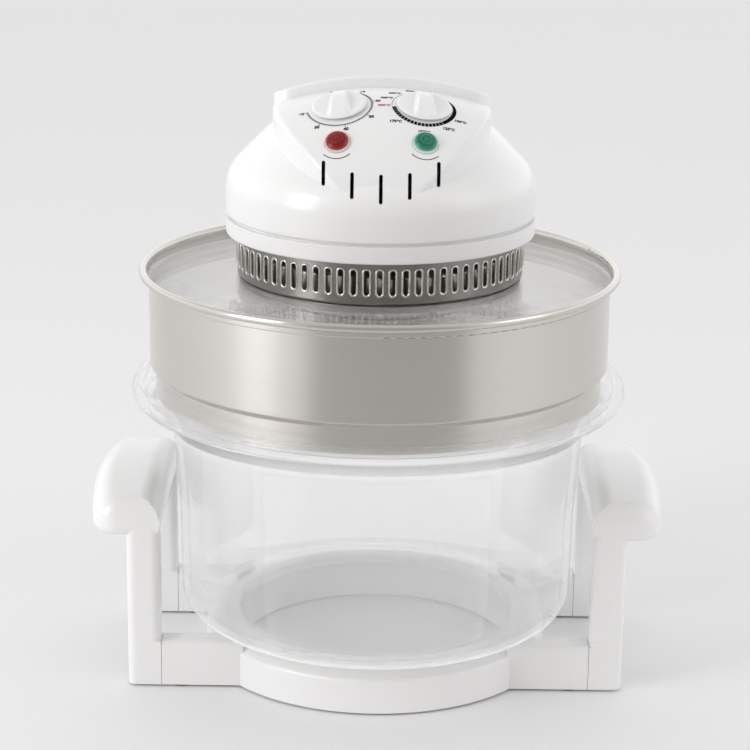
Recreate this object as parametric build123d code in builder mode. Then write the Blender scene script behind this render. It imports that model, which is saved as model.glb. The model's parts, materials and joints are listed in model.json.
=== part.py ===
from build123d import *
from math import asin, cos, radians, sin, sqrt, tan
import os

# Halogen oven. Millimetres, +Z up, front of the oven towards -Y.
# The origin is on the table, on the axis of the bowl.

# Stand: one ring with a front and a rear rail, and two side handles
foot_height = 1.5            # rubber under the mouldings
foot_radius = 8.0
foot_stem_radius = 3.5
rail_height = 32.0
foot_stem_length = 3.0
foot_stem_gap = 1.0
stand_ring_inset = 17.0      # ring's outer edge inside the bowl's low edge
stand_ring_width = 23.0
ring_shoulder_height = 24.5  # outer edge of the ring's sloping top
ring_seat_width = 10.0
ring_rounding = 2.5
stand_wall = 3.0
rail_front = 74.5            # distance of the rails' outer faces from the axis
rail_depth = 19.0
rail_fillet = 3.0
upright_gap = 4.0            # from the bowl's shoulder out to the uprights
upright_width = 22.5
upright_rounding = 6.0
grip_end_reach = 20.5        # grip's outer edge at its ends, from the uprights' outer face
grip_bulge = 6.5             # and how much further out it is in the middle
grip_low = 106.0
grip_top = 136.0
grip_crown = 7.0             # drop of the grip's top towards its ends
grip_overrun = 5.0           # how far the crown's arc runs past the ends
grip_corner = 18.0
grip_top_rounding = 14.0
grip_low_rounding = 7.0
grip_join = 1.0              # uprights' reach into the grip above its rounding
tongue_height = 27.0
tongue_clearance = 0.3
stand_screw_radius = 1.6
stand_screw_head = 3.4
stand_screw_length = 40.0
screw_head_height = 2.4
screw_head_recess = 2.0
screw_tip_gap = 1.0

# Glass bowl
bowl_base = 33.0             # underside above the table
bowl_height = 165.5
bowl_rim_radius = 166.6
bowl_rim_width = 8.1         # from the rim's outer edge in to the ledge
bowl_rim_depth = 8.5         # from the rim's top down to the ledge
bowl_rim_fall = 6.0          # from the rim's top down to its widest point
bowl_rim_flat = 3.0
bowl_rim_chamfer = 1.0
bowl_flange_inset = 7.0
bowl_flare_out = 7.0         # a point of the flare, outwards from the shoulder
bowl_flare_drop = 13.0       # and below the ledge
bowl_flare_slope = 0.15
bowl_throat = 7.5            # from the ledge's inner edge in to the shoulder
bowl_throat_out = 2.0        # a point of the throat, outwards from the shoulder
bowl_throat_drop = 12.0      # and below the ledge
bowl_throat_lean = 0.6
bowl_shoulder_drop = 35.5
bowl_high_taper = 4.0        # from the shoulder in to the middle of the wall
bowl_mid_rise = 75.0
bowl_low_taper = 1.0
bowl_corner_radius = 20.0
glass_thickness = 5.0
bowl_seat_gap = 0.3

# Extension ring, rolled from sheet
sheet = 0.8
ring_play = 4.5              # from the bowl's rim in to the tall wall
band_step = 4.0              # from the tall wall in to the lower band
band_margin = 3.5            # from the lower band in to the ledge's inner edge
band_height = 17.0
step_rise = 4.0
sheet_bend = 0.7
ring_height = 83.0           # from the ledge to the bead's centre
lid_ledge_drop = 6.5         # from the bead's centre down to the lid's ledge
lid_ledge_width = 2.2
bead_radius = 2.6

# Glass lid and vent skirt
lid_thickness = 4.0
lid_edge_gap = 0.5
lid_edge_rounding = 1.2
lid_hole_inset = 9.2         # lid's hole inside the skirt
seat_gap = 0.3
skirt_inset = 7.6            # skirt inside the housing
skirt_bend = 1.2
skirt_height = 28.0
skirt_slot_count = 72
skirt_slot_width = 4.1
skirt_slot_length = 17.0
skirt_slot_rise = 14.5       # slot centre above the lid
skirt_flange = 8.5

# Reflector pan, gasket, guard
gasket_thickness = 1.0
gasket_width = 8.0
pan_sheet = 0.8
pan_gap = 2.0                # between the pan's wall and the lid's hole
pan_depth = 21.0
pan_corner = 1.5
shaft_hole_radius = 8.0
spacer_radius = 4.0
spacer_inset = 11.0          # spacers inside the pan's wall
spacer_count = 3
spacer_start = 30.0
guard_wire = 1.1             # wire radius
guard_overhang = 4.0         # outer ring outside the pan's wall
guard_bend = 8.0
guard_spoke_wire = 0.99
guard_spoke_margin = 2.0     # spokes run level past the last level ring
guard_drop = 9.0
guard_rings = (16.0, 34.0, 52.0, 70.0)
guard_spokes = 8
guard_screw_count = 4
screw_head_radius = 3.0

# Halogen tube
tube_circle = 62.0
tube_radius = 5.0
tube_drop = 11.0             # tube axis below the pan's ceiling
tube_gap_angle = 34.0
tube_bend = 7.0
tube_riser = 3.0             # straight end above the bend
tube_fit = 0.3
socket_radius = 7.0
socket_rise = 5.0            # above the pan
clip_width = 6.0
clip_count = 3

# Motor on its bridge
bridge_span = 134.0
bridge_width = 22.0
bridge_height = 29.0
bridge_sheet = 1.6
bridge_foot = 9.0
bridge_bend = 2.5
motor_width = 60.0
motor_front = 24.0
motor_back = 44.0
motor_stack = 18.0
motor_bore = 14.3
motor_air_gap = 0.5
motor_sleeve = 3.0
coil_end_gap = 1.0
coil_wall = 8.0
coil_rounding = 5.0
window_half = 18.0
window_near = 18.0
window_far = 32.0
shaft_radius = 3.0
bearing_clearance = 0.05
bearing_radius = 6.0
bearing_length = 7.0
bearing_collar = 2.0
strap_width = 12.0
motor_screw_radius = 2.0
motor_screw_offset = 24.0
motor_screw_head = 3.8
motor_screw_head_height = 3.0
motor_sleeve_radius = 3.4

# Fans
hot_fan_height = 10.0
hot_fan_blades = 8
hot_fan_clearance = 8.0      # from the pan's ceiling
hot_fan_plate = 32.2         # radius of the plate that carries the blades
hot_fan_blade_start = 12.0
hot_fan_blade_end = 45.0
hot_fan_blade_turn = 12.0
fan_blade_thickness = 1.2
fan_hub_wall = 3.0
nut_height = 4.0
shaft_overrun = 1.0
cool_fan_radius = 55.0
cool_fan_blades = 7
cool_fan_hub = 11.0
cool_fan_height = 10.0
cool_fan_chord = 22.0
cool_fan_root_pitch = 48.0
cool_fan_tip_pitch = 28.0
cool_fan_lift = 6.0          # hub's underside above the pan

# Plastic housing of the head
housing_radius = 102.8
housing_wall = 2.6
lower_height = 11.2
band_rounding = 1.2          # lower outer edge of the white band
seam_gap = 1.4
groove_rounding = 2.0        # edges of the groove between band and dome
floor_width = 32.8           # from the housing's wall in to the floor's opening
dome_wall_height = 16.2
dome_shoulder = 28.0
dome_slope_length = 25.0
dome_crown_radius = 42.0
console_back = -12.0         # rear face of the raised console
console_side_inset = 31.8    # console's sides inside the housing
console_front_inset = 2.8
console_rise = 76.0
console_root = 8.9           # console ellipse centre above the dome's lower edge
crown_axis_drop = 140.5      # axis of the sideways crown, below the ellipse centre
console_fillet = 4.0
boss_radius = 5.0
boss_inset = 13.3            # bosses inside the housing
boss_angles = (30.0, 150.0, 270.0)
boss_height = 26.0
lip_clearance = 0.2
lip_width = 1.6
lip_rise = 3.0
lip_top_gap = 1.0
housing_screw_length = 18.0
vent_slots = ((0.0, 25.6, 42.6), (18.0, 28.2, 43.6), (36.0, 34.6, 49.6))
vent_slot_width = 2.3

# Controls
knob_x = 27.0
knob_y = -45.0
knob_radius = 17.6
knob_skirt = 2.6
knob_rounding = 1.2
knob_bar_width = 11.0        # at the bar's foot
knob_bar_height = 4.2        # crown of the bar above the skirt
knob_bar_reach = 16.2        # from the knob's axis to the bar's ends
knob_bar_sink = 0.6          # bar's ends below the skirt's face
knob_bar_taper = 12.0
knob_gap = 0.4
knob_bore = 2.4              # shaft's reach above the knob's skirt
control_shaft = 3.0
control_neck = 4.3
neck_clearance = 0.2
timer_radius = 17.0
timer_depth = 22.0
thermostat_radius = 13.0
thermostat_depth = 14.0
unit_drop = 5.6              # top of the units below the panel's skin
unit_pin = (0.8, 5.0)
unit_pin_length = 6.0
unit_pin_spread = 0.7        # spacing of the pins over the unit's radius
spindle_gap = 0.5
lamp_x = 27.7
lamp_y = -75.0
lamp_radius = 5.8
lamp_flange = 8.4
lamp_recess = 1.0
lamp_depth = 18.0
lamp_proud = 0.8             # flange above the panel
lens_radius = 7.2
lens_height = 3.4
lens_edge = 0.5              # upright edge below the lens's dome

# Carry handle
handle_leg = 14.0
handle_bar = 18.0
handle_thickness = 9.0
handle_top = 24.2            # top of the bar above the dome's roof
handle_slope = 9.0
handle_reach = 52.0          # bar's centre to the pins
handle_crown = 215.0
handle_end = 6.0             # leg's end past the pins
handle_end_rounding = 5.5
handle_edge = 2.0
pin_radius = 2.5
pin_clearance = 0.05
pin_drop = 4.3               # pins below the leg's upper face
ear_gap = 0.6
ear_width = 11.0
ear_radius = 7.0
ear_depth = 12.0             # root of the ears below the roof
pin_recess = 1.0
plunger_radius = 2.5
plunger_head = 4.0
plunger_depth = 3.0
plunger_y = 1.0
plunger_rounding = 1.0
switch_size = (20.0, 8.0, 11.0)
switch_pin = (0.8, 4.0, 5.0)
switch_pin_spacing = 7.0

# Cord gland and terminal block
gland_radius = 7.5
gland_neck = 5.5
gland_bore = 3.6
gland_flange = 2.0
gland_rise = 9.4             # above the dome's lower edge
terminal_inset = 18.8        # middle of the block inside the housing
terminal_size = (26.0, 12.0, 12.0)
terminal_bore = 2.2
terminal_bore_depth = 4.0

# Radii worked out from the bowl's rim inwards, then from the housing inwards
bowl_ledge_outer = bowl_rim_radius - bowl_rim_width
wall_radius = bowl_ledge_outer - ring_play
band_radius = wall_radius - band_step
bowl_ledge_inner = band_radius - band_margin
bowl_shoulder_radius = bowl_ledge_inner - bowl_throat
bowl_mid_radius = bowl_shoulder_radius - bowl_high_taper
bowl_low_radius = bowl_mid_radius - bowl_low_taper
ring_outer_radius = bowl_low_radius - stand_ring_inset
ring_inner_radius = ring_outer_radius - stand_ring_width
upright_inner = bowl_shoulder_radius + upright_gap
upright_outer = upright_inner + upright_width
grip_end_outer = upright_outer + grip_end_reach
skirt_radius = housing_radius - skirt_inset
lid_hole_radius = skirt_radius - lid_hole_inset
pan_radius = lid_hole_radius - pan_gap
guard_radius = pan_radius + guard_overhang
spacer_circle = pan_radius - spacer_inset
floor_opening = housing_radius - floor_width
boss_circle = housing_radius - boss_inset
terminal_y = housing_radius - terminal_inset
console_half_width = housing_radius - console_side_inset
console_length = housing_radius - console_front_inset + console_back
handle_half_width = console_half_width

# Heights worked out from the sizes above
bowl_rim = bowl_base + bowl_height
ledge = bowl_rim - bowl_rim_depth
band_low = ledge + seat_gap
bead_centre = ledge + ring_height
lid_ledge = bead_centre - lid_ledge_drop
lid_low = lid_ledge + sheet / 2 + seat_gap
lid_top = lid_low + lid_thickness
skirt_top = lid_top + skirt_height
gasket_low = lid_low - gasket_thickness
pan_flange_low = gasket_low - pan_sheet
pan_ceiling = pan_flange_low + pan_depth
pan_top = pan_ceiling + pan_sheet
lid_radius = wall_radius - sheet + lid_ledge_width - lid_edge_gap
lower_top = skirt_top + lower_height
dome_low = lower_top + seam_gap
floor_top = skirt_top + housing_wall
deck_low = pan_top + bridge_height
deck_top = deck_low + bridge_sheet
motor_low = deck_top + motor_sleeve
motor_high = motor_low + motor_stack
strap_low = motor_high + motor_sleeve

rail_middle = rail_front - rail_depth / 2
tube_z = pan_ceiling - tube_drop
half_gap = radians(tube_gap_angle / 2)
socket_x = tube_circle * sin(half_gap) - tube_bend * cos(half_gap)
socket_y = tube_circle * cos(half_gap) + tube_bend * sin(half_gap)
socket_places = [(-socket_x, socket_y), (socket_x, socket_y)]

# The dome's outline: wall, shoulder arc, 45 degree slope, crown arc, flat roof
diagonal = sqrt(0.5)
shoulder_centre = Vector(housing_radius - dome_shoulder, dome_low + dome_wall_height)
slope_low = shoulder_centre + Vector(diagonal, diagonal) * dome_shoulder
slope_high = slope_low + Vector(-diagonal, diagonal) * dome_slope_length
crown_centre = slope_high - Vector(diagonal, diagonal) * dome_crown_radius
roof = crown_centre.Y + dome_crown_radius
console_centre = dome_low + console_root
crown_axis = console_centre - crown_axis_drop
gland_z = dome_low + gland_rise
boss_places = [(boss_circle * cos(radians(a)), boss_circle * sin(radians(a))) for a in boss_angles]

# The folded handle lies in a plane that slopes down towards the back
slope_angle = radians(handle_slope)
handle_origin = Vector(0, 0, roof + handle_top)
handle_back = Vector(0, cos(slope_angle), -sin(slope_angle))
handle_normal = Vector(0, sin(slope_angle), cos(slope_angle))
handle_plane = Plane(origin=handle_origin, x_dir=(1, 0, 0), z_dir=handle_normal)
leg_middle = handle_half_width - handle_leg / 2
leg_drop = handle_crown - sqrt(handle_crown**2 - leg_middle**2)
pin_point = handle_origin + handle_back * handle_reach - handle_normal * (leg_drop + pin_drop)
pin_y = pin_point.Y
pin_z = pin_point.Z
bar_back = plunger_y + plunger_head
handle_under = handle_origin.Z - handle_thickness / cos(slope_angle) - bar_back * tan(slope_angle)
ear_inner = handle_half_width - handle_leg - ear_gap - ear_width
ear_root = roof - ear_depth


def panel_plane(x, y):
    """Plane on the console's skin above (x, y), its Z along the outward normal."""
    reach = (y - console_back) / console_length
    height = sqrt(1 - reach**2)
    slope = -console_rise * reach / (console_length * height)
    radius = console_centre + console_rise * height - crown_axis
    lean = asin(x / radius)
    length = sqrt(1 + slope**2)
    normal = Vector(sin(lean) / length, -slope / length, cos(lean) / length)
    point = Vector(x, y, crown_axis + radius * cos(lean))
    across = Vector(1, 0, 0) - normal * normal.X
    return Plane(origin=point, x_dir=across, z_dir=normal)


def dome_form(inset):
    """Closed dome, its skin moved inwards by inset."""
    with BuildPart() as form:
        with BuildSketch(Plane.XZ):
            with BuildLine():
                wall_top = (housing_radius - inset, shoulder_centre.Y)
                side = Line((housing_radius - inset, dome_low), wall_top)
                shoulder = CenterArc(shoulder_centre, dome_shoulder - inset, 0, 45)
                slope = Line(shoulder @ 1, crown_centre + Vector(diagonal, diagonal)
                             * (dome_crown_radius - inset))
                crown = CenterArc(crown_centre, dome_crown_radius - inset, 45, 45)
                Polyline(crown @ 1, (0, roof - inset), (0, dome_low), side @ 0)
            make_face()
        revolve(axis=Axis.Z)
    return form.part


def console_form(inset):
    """Raised console: a crowned quarter-ellipse shell cut to a half-ellipse plan."""
    back = console_back - inset
    length = console_length - inset
    with BuildPart() as form:
        with BuildSketch(Plane.YZ):
            with BuildLine():
                skin = EllipticalCenterArc((back, console_centre), length,
                                           console_rise - inset, start_angle=90, arc_size=90)
                Polyline(skin @ 0, (back, crown_axis), (back - length, crown_axis), skin @ 1)
            make_face()
        revolve(axis=Axis((0, 0, crown_axis), (0, 1, 0)))
        with BuildSketch(Plane.XY.offset(console_centre)):
            with BuildLine():
                plan = EllipticalCenterArc((0, back), console_half_width - inset, length,
                                           start_angle=180, arc_size=180)
                Line(plan @ 0, plan @ 1)
            make_face()
        extrude(amount=2 * console_rise, mode=Mode.INTERSECT)
    return form.part


def stand_handle(side):
    """Side handle: a crowned grip that bulges outwards on two uprights; side is -1 or 1."""
    upright_x = side * (upright_inner + upright_width / 2)
    upright_top = grip_low + grip_low_rounding + grip_join
    inwards = Align.MIN if side > 0 else Align.MAX
    crown_end = rail_front + grip_overrun
    with BuildPart() as handle:
        with BuildSketch(Plane.XY.offset(grip_low)) as plan:
            with BuildLine():
                Polyline((side * grip_end_outer, -rail_front), (side * upright_inner, -rail_front),
                         (side * upright_inner, rail_front), (side * grip_end_outer, rail_front))
                ThreePointArc((side * grip_end_outer, -rail_front),
                              (side * (grip_end_outer + grip_bulge), 0),
                              (side * grip_end_outer, rail_front))
            make_face()
            outer = plan.vertices().filter_by(lambda v: abs(v.X) > upright_outer)
            fillet(outer, grip_corner)
        extrude(amount=grip_top - grip_low)
        with BuildSketch(Plane.YZ):
            with BuildLine():
                crown = ThreePointArc((-crown_end, grip_top - grip_crown), (0, grip_top),
                                      (crown_end, grip_top - grip_crown))
                Polyline(crown @ 1, (crown_end, grip_low - grip_overrun),
                         (-crown_end, grip_low - grip_overrun), crown @ 0)
            make_face()
        extrude(amount=2 * grip_end_outer, both=True, mode=Mode.INTERSECT)
        fillet(handle.faces().sort_by(Axis.Z)[-1].edges(), grip_top_rounding)
        fillet(handle.faces().sort_by(Axis.Z)[0].edges(), grip_low_rounding)
        # rounded uprights, square again where the rails meet them
        for y in (-rail_middle, rail_middle):
            with BuildSketch(Plane.XY.offset(foot_height)):
                with Locations((upright_x, y)):
                    RectangleRounded(upright_width, rail_depth, upright_rounding)
            extrude(amount=upright_top - foot_height)
            with Locations((side * upright_inner, y, foot_height)):
                Box(upright_width / 2, rail_depth, rail_height - foot_height,
                    align=(inwards, Align.CENTER, Align.MIN))
        # sockets for the rails' tongues, open below and towards the ring
        for y in (-rail_middle, rail_middle):
            with Locations((side * (upright_inner - tongue_clearance), y, 0)):
                Box(upright_width - stand_wall + tongue_clearance, rail_depth - 2 * stand_wall,
                    foot_height + tongue_height + tongue_clearance, mode=Mode.SUBTRACT,
                    align=(inwards, Align.CENTER, Align.MIN))
            with Locations((upright_x, y, 0)):
                Cylinder(stand_screw_radius, foot_height + stand_screw_length, mode=Mode.SUBTRACT,
                         align=(Align.CENTER, Align.CENTER, Align.MIN))
    return handle.part


def control_unit(plane, radius, depth):
    """Can behind the panel with a neck through it, bored for its shaft."""
    with BuildPart() as unit:
        with BuildSketch(plane.offset(-unit_drop - depth)):
            Circle(radius)
        extrude(amount=depth)
        with BuildSketch(plane.offset(-unit_drop)):
            Circle(control_neck)
        extrude(amount=unit_drop)
        with BuildSketch(plane.offset(-unit_drop - depth / 2)):
            Circle(control_shaft + bearing_clearance)
        extrude(amount=unit_drop + depth, mode=Mode.SUBTRACT)
        with BuildSketch(plane.offset(-unit_drop - depth - unit_pin_length)):
            with GridLocations(radius * unit_pin_spread, radius * unit_pin_spread, 2, 2):
                Rectangle(*unit_pin)
        extrude(amount=unit_pin_length)
    return unit.part


def control_knob(plane):
    """Thin round skirt with an arched, tapered grip bar across it, bored for its shaft."""
    skirt_face = knob_gap + knob_skirt
    with BuildPart() as bar:
        with BuildSketch(plane.offset(knob_gap + knob_rounding)):
            Rectangle(knob_bar_width, 2 * knob_radius)
        extrude(amount=skirt_face - knob_gap - knob_rounding + knob_bar_height, taper=knob_bar_taper)
        with BuildSketch(Plane(plane.origin, x_dir=plane.y_dir, z_dir=plane.x_dir)):
            with BuildLine():
                arch = ThreePointArc((-knob_bar_reach, skirt_face - knob_bar_sink),
                                     (0, skirt_face + knob_bar_height),
                                     (knob_bar_reach, skirt_face - knob_bar_sink))
                Line(arch @ 1, arch @ 0)
            make_face()
        extrude(amount=knob_radius, both=True, mode=Mode.INTERSECT)
    with BuildPart() as knob:
        with BuildSketch(plane.offset(knob_gap)):
            Circle(knob_radius)
        extrude(amount=knob_skirt)
        rim = knob.edges().filter_by(GeomType.CIRCLE).sort_by(Axis(plane.origin, plane.z_dir))[-1]
        fillet(rim, knob_rounding)
        add(bar.part)
        with BuildSketch(plane):
            Circle(control_shaft)
        extrude(amount=skirt_face + knob_bore, mode=Mode.SUBTRACT)
    return knob.part


def control_spindle(plane, depth):
    """Shaft from the unit into the knob."""
    with BuildPart() as spindle:
        with BuildSketch(plane.offset(-unit_drop - depth / 2 + spindle_gap)):
            Circle(control_shaft)
        extrude(amount=unit_drop + depth / 2 - spindle_gap + knob_gap + knob_skirt + knob_bore - seat_gap)
    return spindle.part


def lens(plane):
    """Domed lamp lens that stands on the lamp's flange."""
    with BuildPart() as dome:
        with BuildSketch(plane.offset(lamp_proud)):
            Circle(lens_radius)
        extrude(amount=lens_height)
        fillet(dome.edges().filter_by(GeomType.CIRCLE)
               .sort_by(Axis(plane.origin, plane.z_dir))[-1], lens_height - lens_edge)
    return dome.part


def finish(part, name):
    """Label the piece and write its STEP file."""
    part.label = name
    export_step(part, f"parts/{name}.step")


os.makedirs("parts", exist_ok=True)

# Stand
foot_x = (ring_outer_radius + upright_inner) / 2
screw_x = (upright_inner + upright_outer) / 2
tongue_end = upright_outer - stand_wall - tongue_clearance
ring_seat = bowl_base - bowl_seat_gap
foot_places = [(x, y) for x in (-foot_x, foot_x) for y in (-rail_middle, rail_middle)]
screw_places = [(x, y) for x in (-screw_x, screw_x) for y in (-rail_middle, rail_middle)]
standing = (Align.CENTER, Align.CENTER, Align.MIN)

with BuildPart() as base_frame:
    # front and rear rail, hollow below, with a solid tongue at each end
    for y in (-rail_middle, rail_middle):
        with Locations((0, y, foot_height)):
            Box(2 * (upright_inner - tongue_clearance), rail_depth, rail_height - foot_height,
                align=standing)
    fillet(base_frame.edges().filter_by(Axis.X).group_by(Axis.Z)[-1], rail_fillet)
    for y in (-rail_middle, rail_middle):
        with Locations((0, y, 0)):
            Box(2 * (upright_inner - stand_wall), rail_depth - 2 * stand_wall,
                rail_height - stand_wall, mode=Mode.SUBTRACT, align=standing)
        with Locations((-foot_x, y, foot_height), (foot_x, y, foot_height)):
            Cylinder((rail_depth - stand_wall) / 2, rail_height - foot_height - stand_wall / 2,
                     align=standing)
        for side in (-1, 1):
            with Locations((side * (upright_inner - stand_wall), y, foot_height)):
                Box(tongue_end - upright_inner + stand_wall,
                    rail_depth - 2 * (stand_wall + tongue_clearance), tongue_height,
                    align=(Align.MIN if side > 0 else Align.MAX, Align.CENTER, Align.MIN))
    # ring: an open channel whose top slopes up to the bowl's seat
    with Locations((0, 0, 0)):
        Cylinder(ring_outer_radius - stand_wall / 2, rail_height, mode=Mode.SUBTRACT, align=standing)
    with BuildSketch(Plane.XZ) as ring_profile:
        with BuildLine():
            seat_end = ring_inner_radius + ring_seat_width
            Polyline((ring_inner_radius, foot_height), (ring_inner_radius, ring_seat),
                     (seat_end, ring_seat), (ring_outer_radius, ring_shoulder_height),
                     (ring_outer_radius, foot_height), (ring_outer_radius - stand_wall, foot_height),
                     (ring_outer_radius - stand_wall, ring_shoulder_height - stand_wall / 2),
                     (seat_end - stand_wall / 3, ring_seat - stand_wall),
                     (ring_inner_radius + stand_wall, ring_seat - stand_wall),
                     (ring_inner_radius + stand_wall, foot_height), close=True)
        make_face()
        seat_corners = ring_profile.vertices().group_by(Axis.Y)[-1]
        shoulder_corner = ring_profile.vertices().group_by(Axis.X)[-1].sort_by(Axis.Y)[-1]
        fillet([*seat_corners, shoulder_corner], ring_rounding)
    revolve(axis=Axis.Z)
    with Locations([(x, y, 0) for x, y in foot_places]):
        Cylinder(foot_stem_radius, foot_height + foot_stem_length + foot_stem_gap,
                 mode=Mode.SUBTRACT, align=standing)
    with Locations([(x, y, 0) for x, y in screw_places]):
        Cylinder(stand_screw_radius + tongue_clearance, rail_height, mode=Mode.SUBTRACT, align=standing)
        Cylinder(stand_screw_head + tongue_clearance,
                 foot_height + screw_head_recess + screw_head_height, mode=Mode.SUBTRACT,
                 align=standing)
finish(base_frame.part, "base_frame")

left_handle = stand_handle(-1)
finish(left_handle, "left_handle")
right_handle = stand_handle(1)
finish(right_handle, "right_handle")

with BuildPart() as rubber_feet:
    with Locations([(x, y, 0) for x, y in foot_places]):
        Cylinder(foot_radius, foot_height, align=standing)
    with Locations([(x, y, foot_height) for x, y in foot_places]):
        Cylinder(foot_stem_radius, foot_stem_length, align=standing)
finish(rubber_feet.part, "rubber_feet")

with BuildPart() as stand_screws:
    with Locations([(x, y, foot_height + screw_head_recess) for x, y in screw_places]):
        Cylinder(stand_screw_head, screw_head_height, align=standing)
    with Locations([(x, y, foot_height + screw_head_recess) for x, y in screw_places]):
        Cylinder(stand_screw_radius, stand_screw_length - screw_head_recess - screw_tip_gap,
                 align=standing)
finish(stand_screws.part, "stand_screws")

# Glass bowl
corner = Vector(bowl_low_radius - bowl_corner_radius, bowl_base + bowl_corner_radius)
with BuildPart() as glass_bowl:
    inner_corner = bowl_corner_radius - glass_thickness
    mid = bowl_base + bowl_mid_rise
    shoulder_z = bowl_rim - bowl_shoulder_drop
    with BuildSketch(Plane.XZ):
        with BuildLine():
            base = Line((0, bowl_base), (corner.X, bowl_base))
            outer_turn = JernArc(base @ 1, (1, 0), bowl_corner_radius, 90)
            body = Polyline(outer_turn @ 1, (bowl_mid_radius, mid), (bowl_shoulder_radius, shoulder_z))
            flange_low = (bowl_rim_radius - bowl_flange_inset, ledge - glass_thickness + bowl_rim_chamfer)
            flare_point = (bowl_shoulder_radius + bowl_flare_out, ledge - bowl_flare_drop)
            Spline(body @ 1, flare_point, flange_low,
                   tangents=[(bowl_high_taper, shoulder_z - mid), (1, bowl_flare_slope)])
            rim = ThreePointArc(flange_low, (bowl_rim_radius, bowl_rim - bowl_rim_fall),
                                (bowl_rim_radius - bowl_rim_flat, bowl_rim))
            Polyline(rim @ 1, (bowl_ledge_outer + bowl_rim_chamfer, bowl_rim),
                     (bowl_ledge_outer, bowl_rim - bowl_rim_chamfer),
                     (bowl_ledge_outer, ledge), (bowl_ledge_inner, ledge))
            inner_top = (bowl_shoulder_radius - glass_thickness, shoulder_z)
            throat_point = (bowl_shoulder_radius + bowl_throat_out, ledge - bowl_throat_drop)
            Spline((bowl_ledge_inner, ledge), throat_point, inner_top,
                   tangents=[(-bowl_throat_lean, -1), (-bowl_high_taper, mid - shoulder_z)])
            Polyline(inner_top, (bowl_mid_radius - glass_thickness, mid),
                     (bowl_low_radius - glass_thickness, bowl_base + bowl_corner_radius))
            inner_turn = CenterArc(corner, inner_corner, 270, 90)
            Polyline(inner_turn @ 0, (0, bowl_base + glass_thickness), base @ 0)
        make_face()
    revolve(axis=Axis.Z)
finish(glass_bowl.part, "glass_bowl")

# Extension ring
with BuildPart() as extension_ring:
    with BuildSketch(Plane.XZ):
        with BuildLine():
            band_line = band_radius - sheet / 2
            wall_line = wall_radius - sheet / 2
            lid_wall = wall_line + lid_ledge_width
            FilletPolyline((band_line, band_low), (band_line, band_low + band_height),
                           (wall_line, band_low + band_height + step_rise), (wall_line, lid_ledge),
                           (lid_wall, lid_ledge), (lid_wall, bead_centre), radius=sheet_bend)
        trace(line_width=sheet)
        with Locations((lid_wall - sheet / 2 + bead_radius, bead_centre)):
            Circle(bead_radius)
            Circle(bead_radius - sheet, mode=Mode.SUBTRACT)
    revolve(axis=Axis.Z)
finish(extension_ring.part, "extension_ring")

# Glass lid, gasket, skirt
with BuildPart() as glass_lid:
    with BuildSketch(Plane.XY.offset(lid_low)):
        Circle(lid_radius)
        Circle(lid_hole_radius, mode=Mode.SUBTRACT)
    extrude(amount=lid_thickness)
    fillet(glass_lid.edges().filter_by(GeomType.CIRCLE).group_by(SortBy.RADIUS)[-1], lid_edge_rounding)
finish(glass_lid.part, "glass_lid")

with BuildPart() as lid_gasket:
    with BuildSketch(Plane.XY.offset(gasket_low)):
        Circle(lid_hole_radius + gasket_width)
        Circle(lid_hole_radius, mode=Mode.SUBTRACT)
    extrude(amount=gasket_thickness)
finish(lid_gasket.part, "lid_gasket")

with BuildPart() as slot_cutter:
    with BuildSketch(Plane.YZ.offset(skirt_radius - 2 * sheet)):
        with Locations((0, lid_top + skirt_slot_rise)):
            SlotOverall(skirt_slot_length, skirt_slot_width, rotation=90)
    extrude(amount=4 * sheet)

with BuildPart() as vent_skirt:
    with BuildSketch(Plane.XZ):
        with BuildLine():
            skin = skirt_radius - sheet / 2
            FilletPolyline((skin - skirt_flange, lid_top + sheet / 2), (skin, lid_top + sheet / 2),
                           (skin, skirt_top - sheet / 2), (skin - skirt_flange, skirt_top - sheet / 2),
                           radius=skirt_bend)
        trace(line_width=sheet)
    revolve(axis=Axis.Z)
    with PolarLocations(0, skirt_slot_count):
        add(slot_cutter.part, mode=Mode.SUBTRACT)
    with Locations([(x, y, skirt_top) for x, y in boss_places]):
        Cylinder(stand_screw_radius + seat_gap, 4 * sheet, mode=Mode.SUBTRACT)
finish(vent_skirt.part, "vent_skirt")

# Reflector pan and its spacers
with BuildPart() as reflector_pan:
    with BuildSketch(Plane.XZ):
        with BuildLine():
            pan_line = pan_radius - pan_sheet / 2
            FilletPolyline((lid_hole_radius + gasket_width, pan_flange_low + pan_sheet / 2),
                           (pan_line, pan_flange_low + pan_sheet / 2),
                           (pan_line, pan_ceiling + pan_sheet / 2),
                           (shaft_hole_radius, pan_ceiling + pan_sheet / 2), radius=pan_corner)
        trace(line_width=pan_sheet)
    revolve(axis=Axis.Z)
    with Locations([(x, y, pan_ceiling) for x, y in socket_places]):
        Cylinder(socket_radius + neck_clearance, 4 * pan_sheet, mode=Mode.SUBTRACT)
finish(reflector_pan.part, "reflector_pan")

with BuildPart() as pan_spacers:
    with PolarLocations(spacer_circle, spacer_count, start_angle=spacer_start):
        with Locations((0, 0, pan_top)):
            Cylinder(spacer_radius, skirt_top - pan_top, align=standing)
finish(pan_spacers.part, "pan_spacers")

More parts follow.
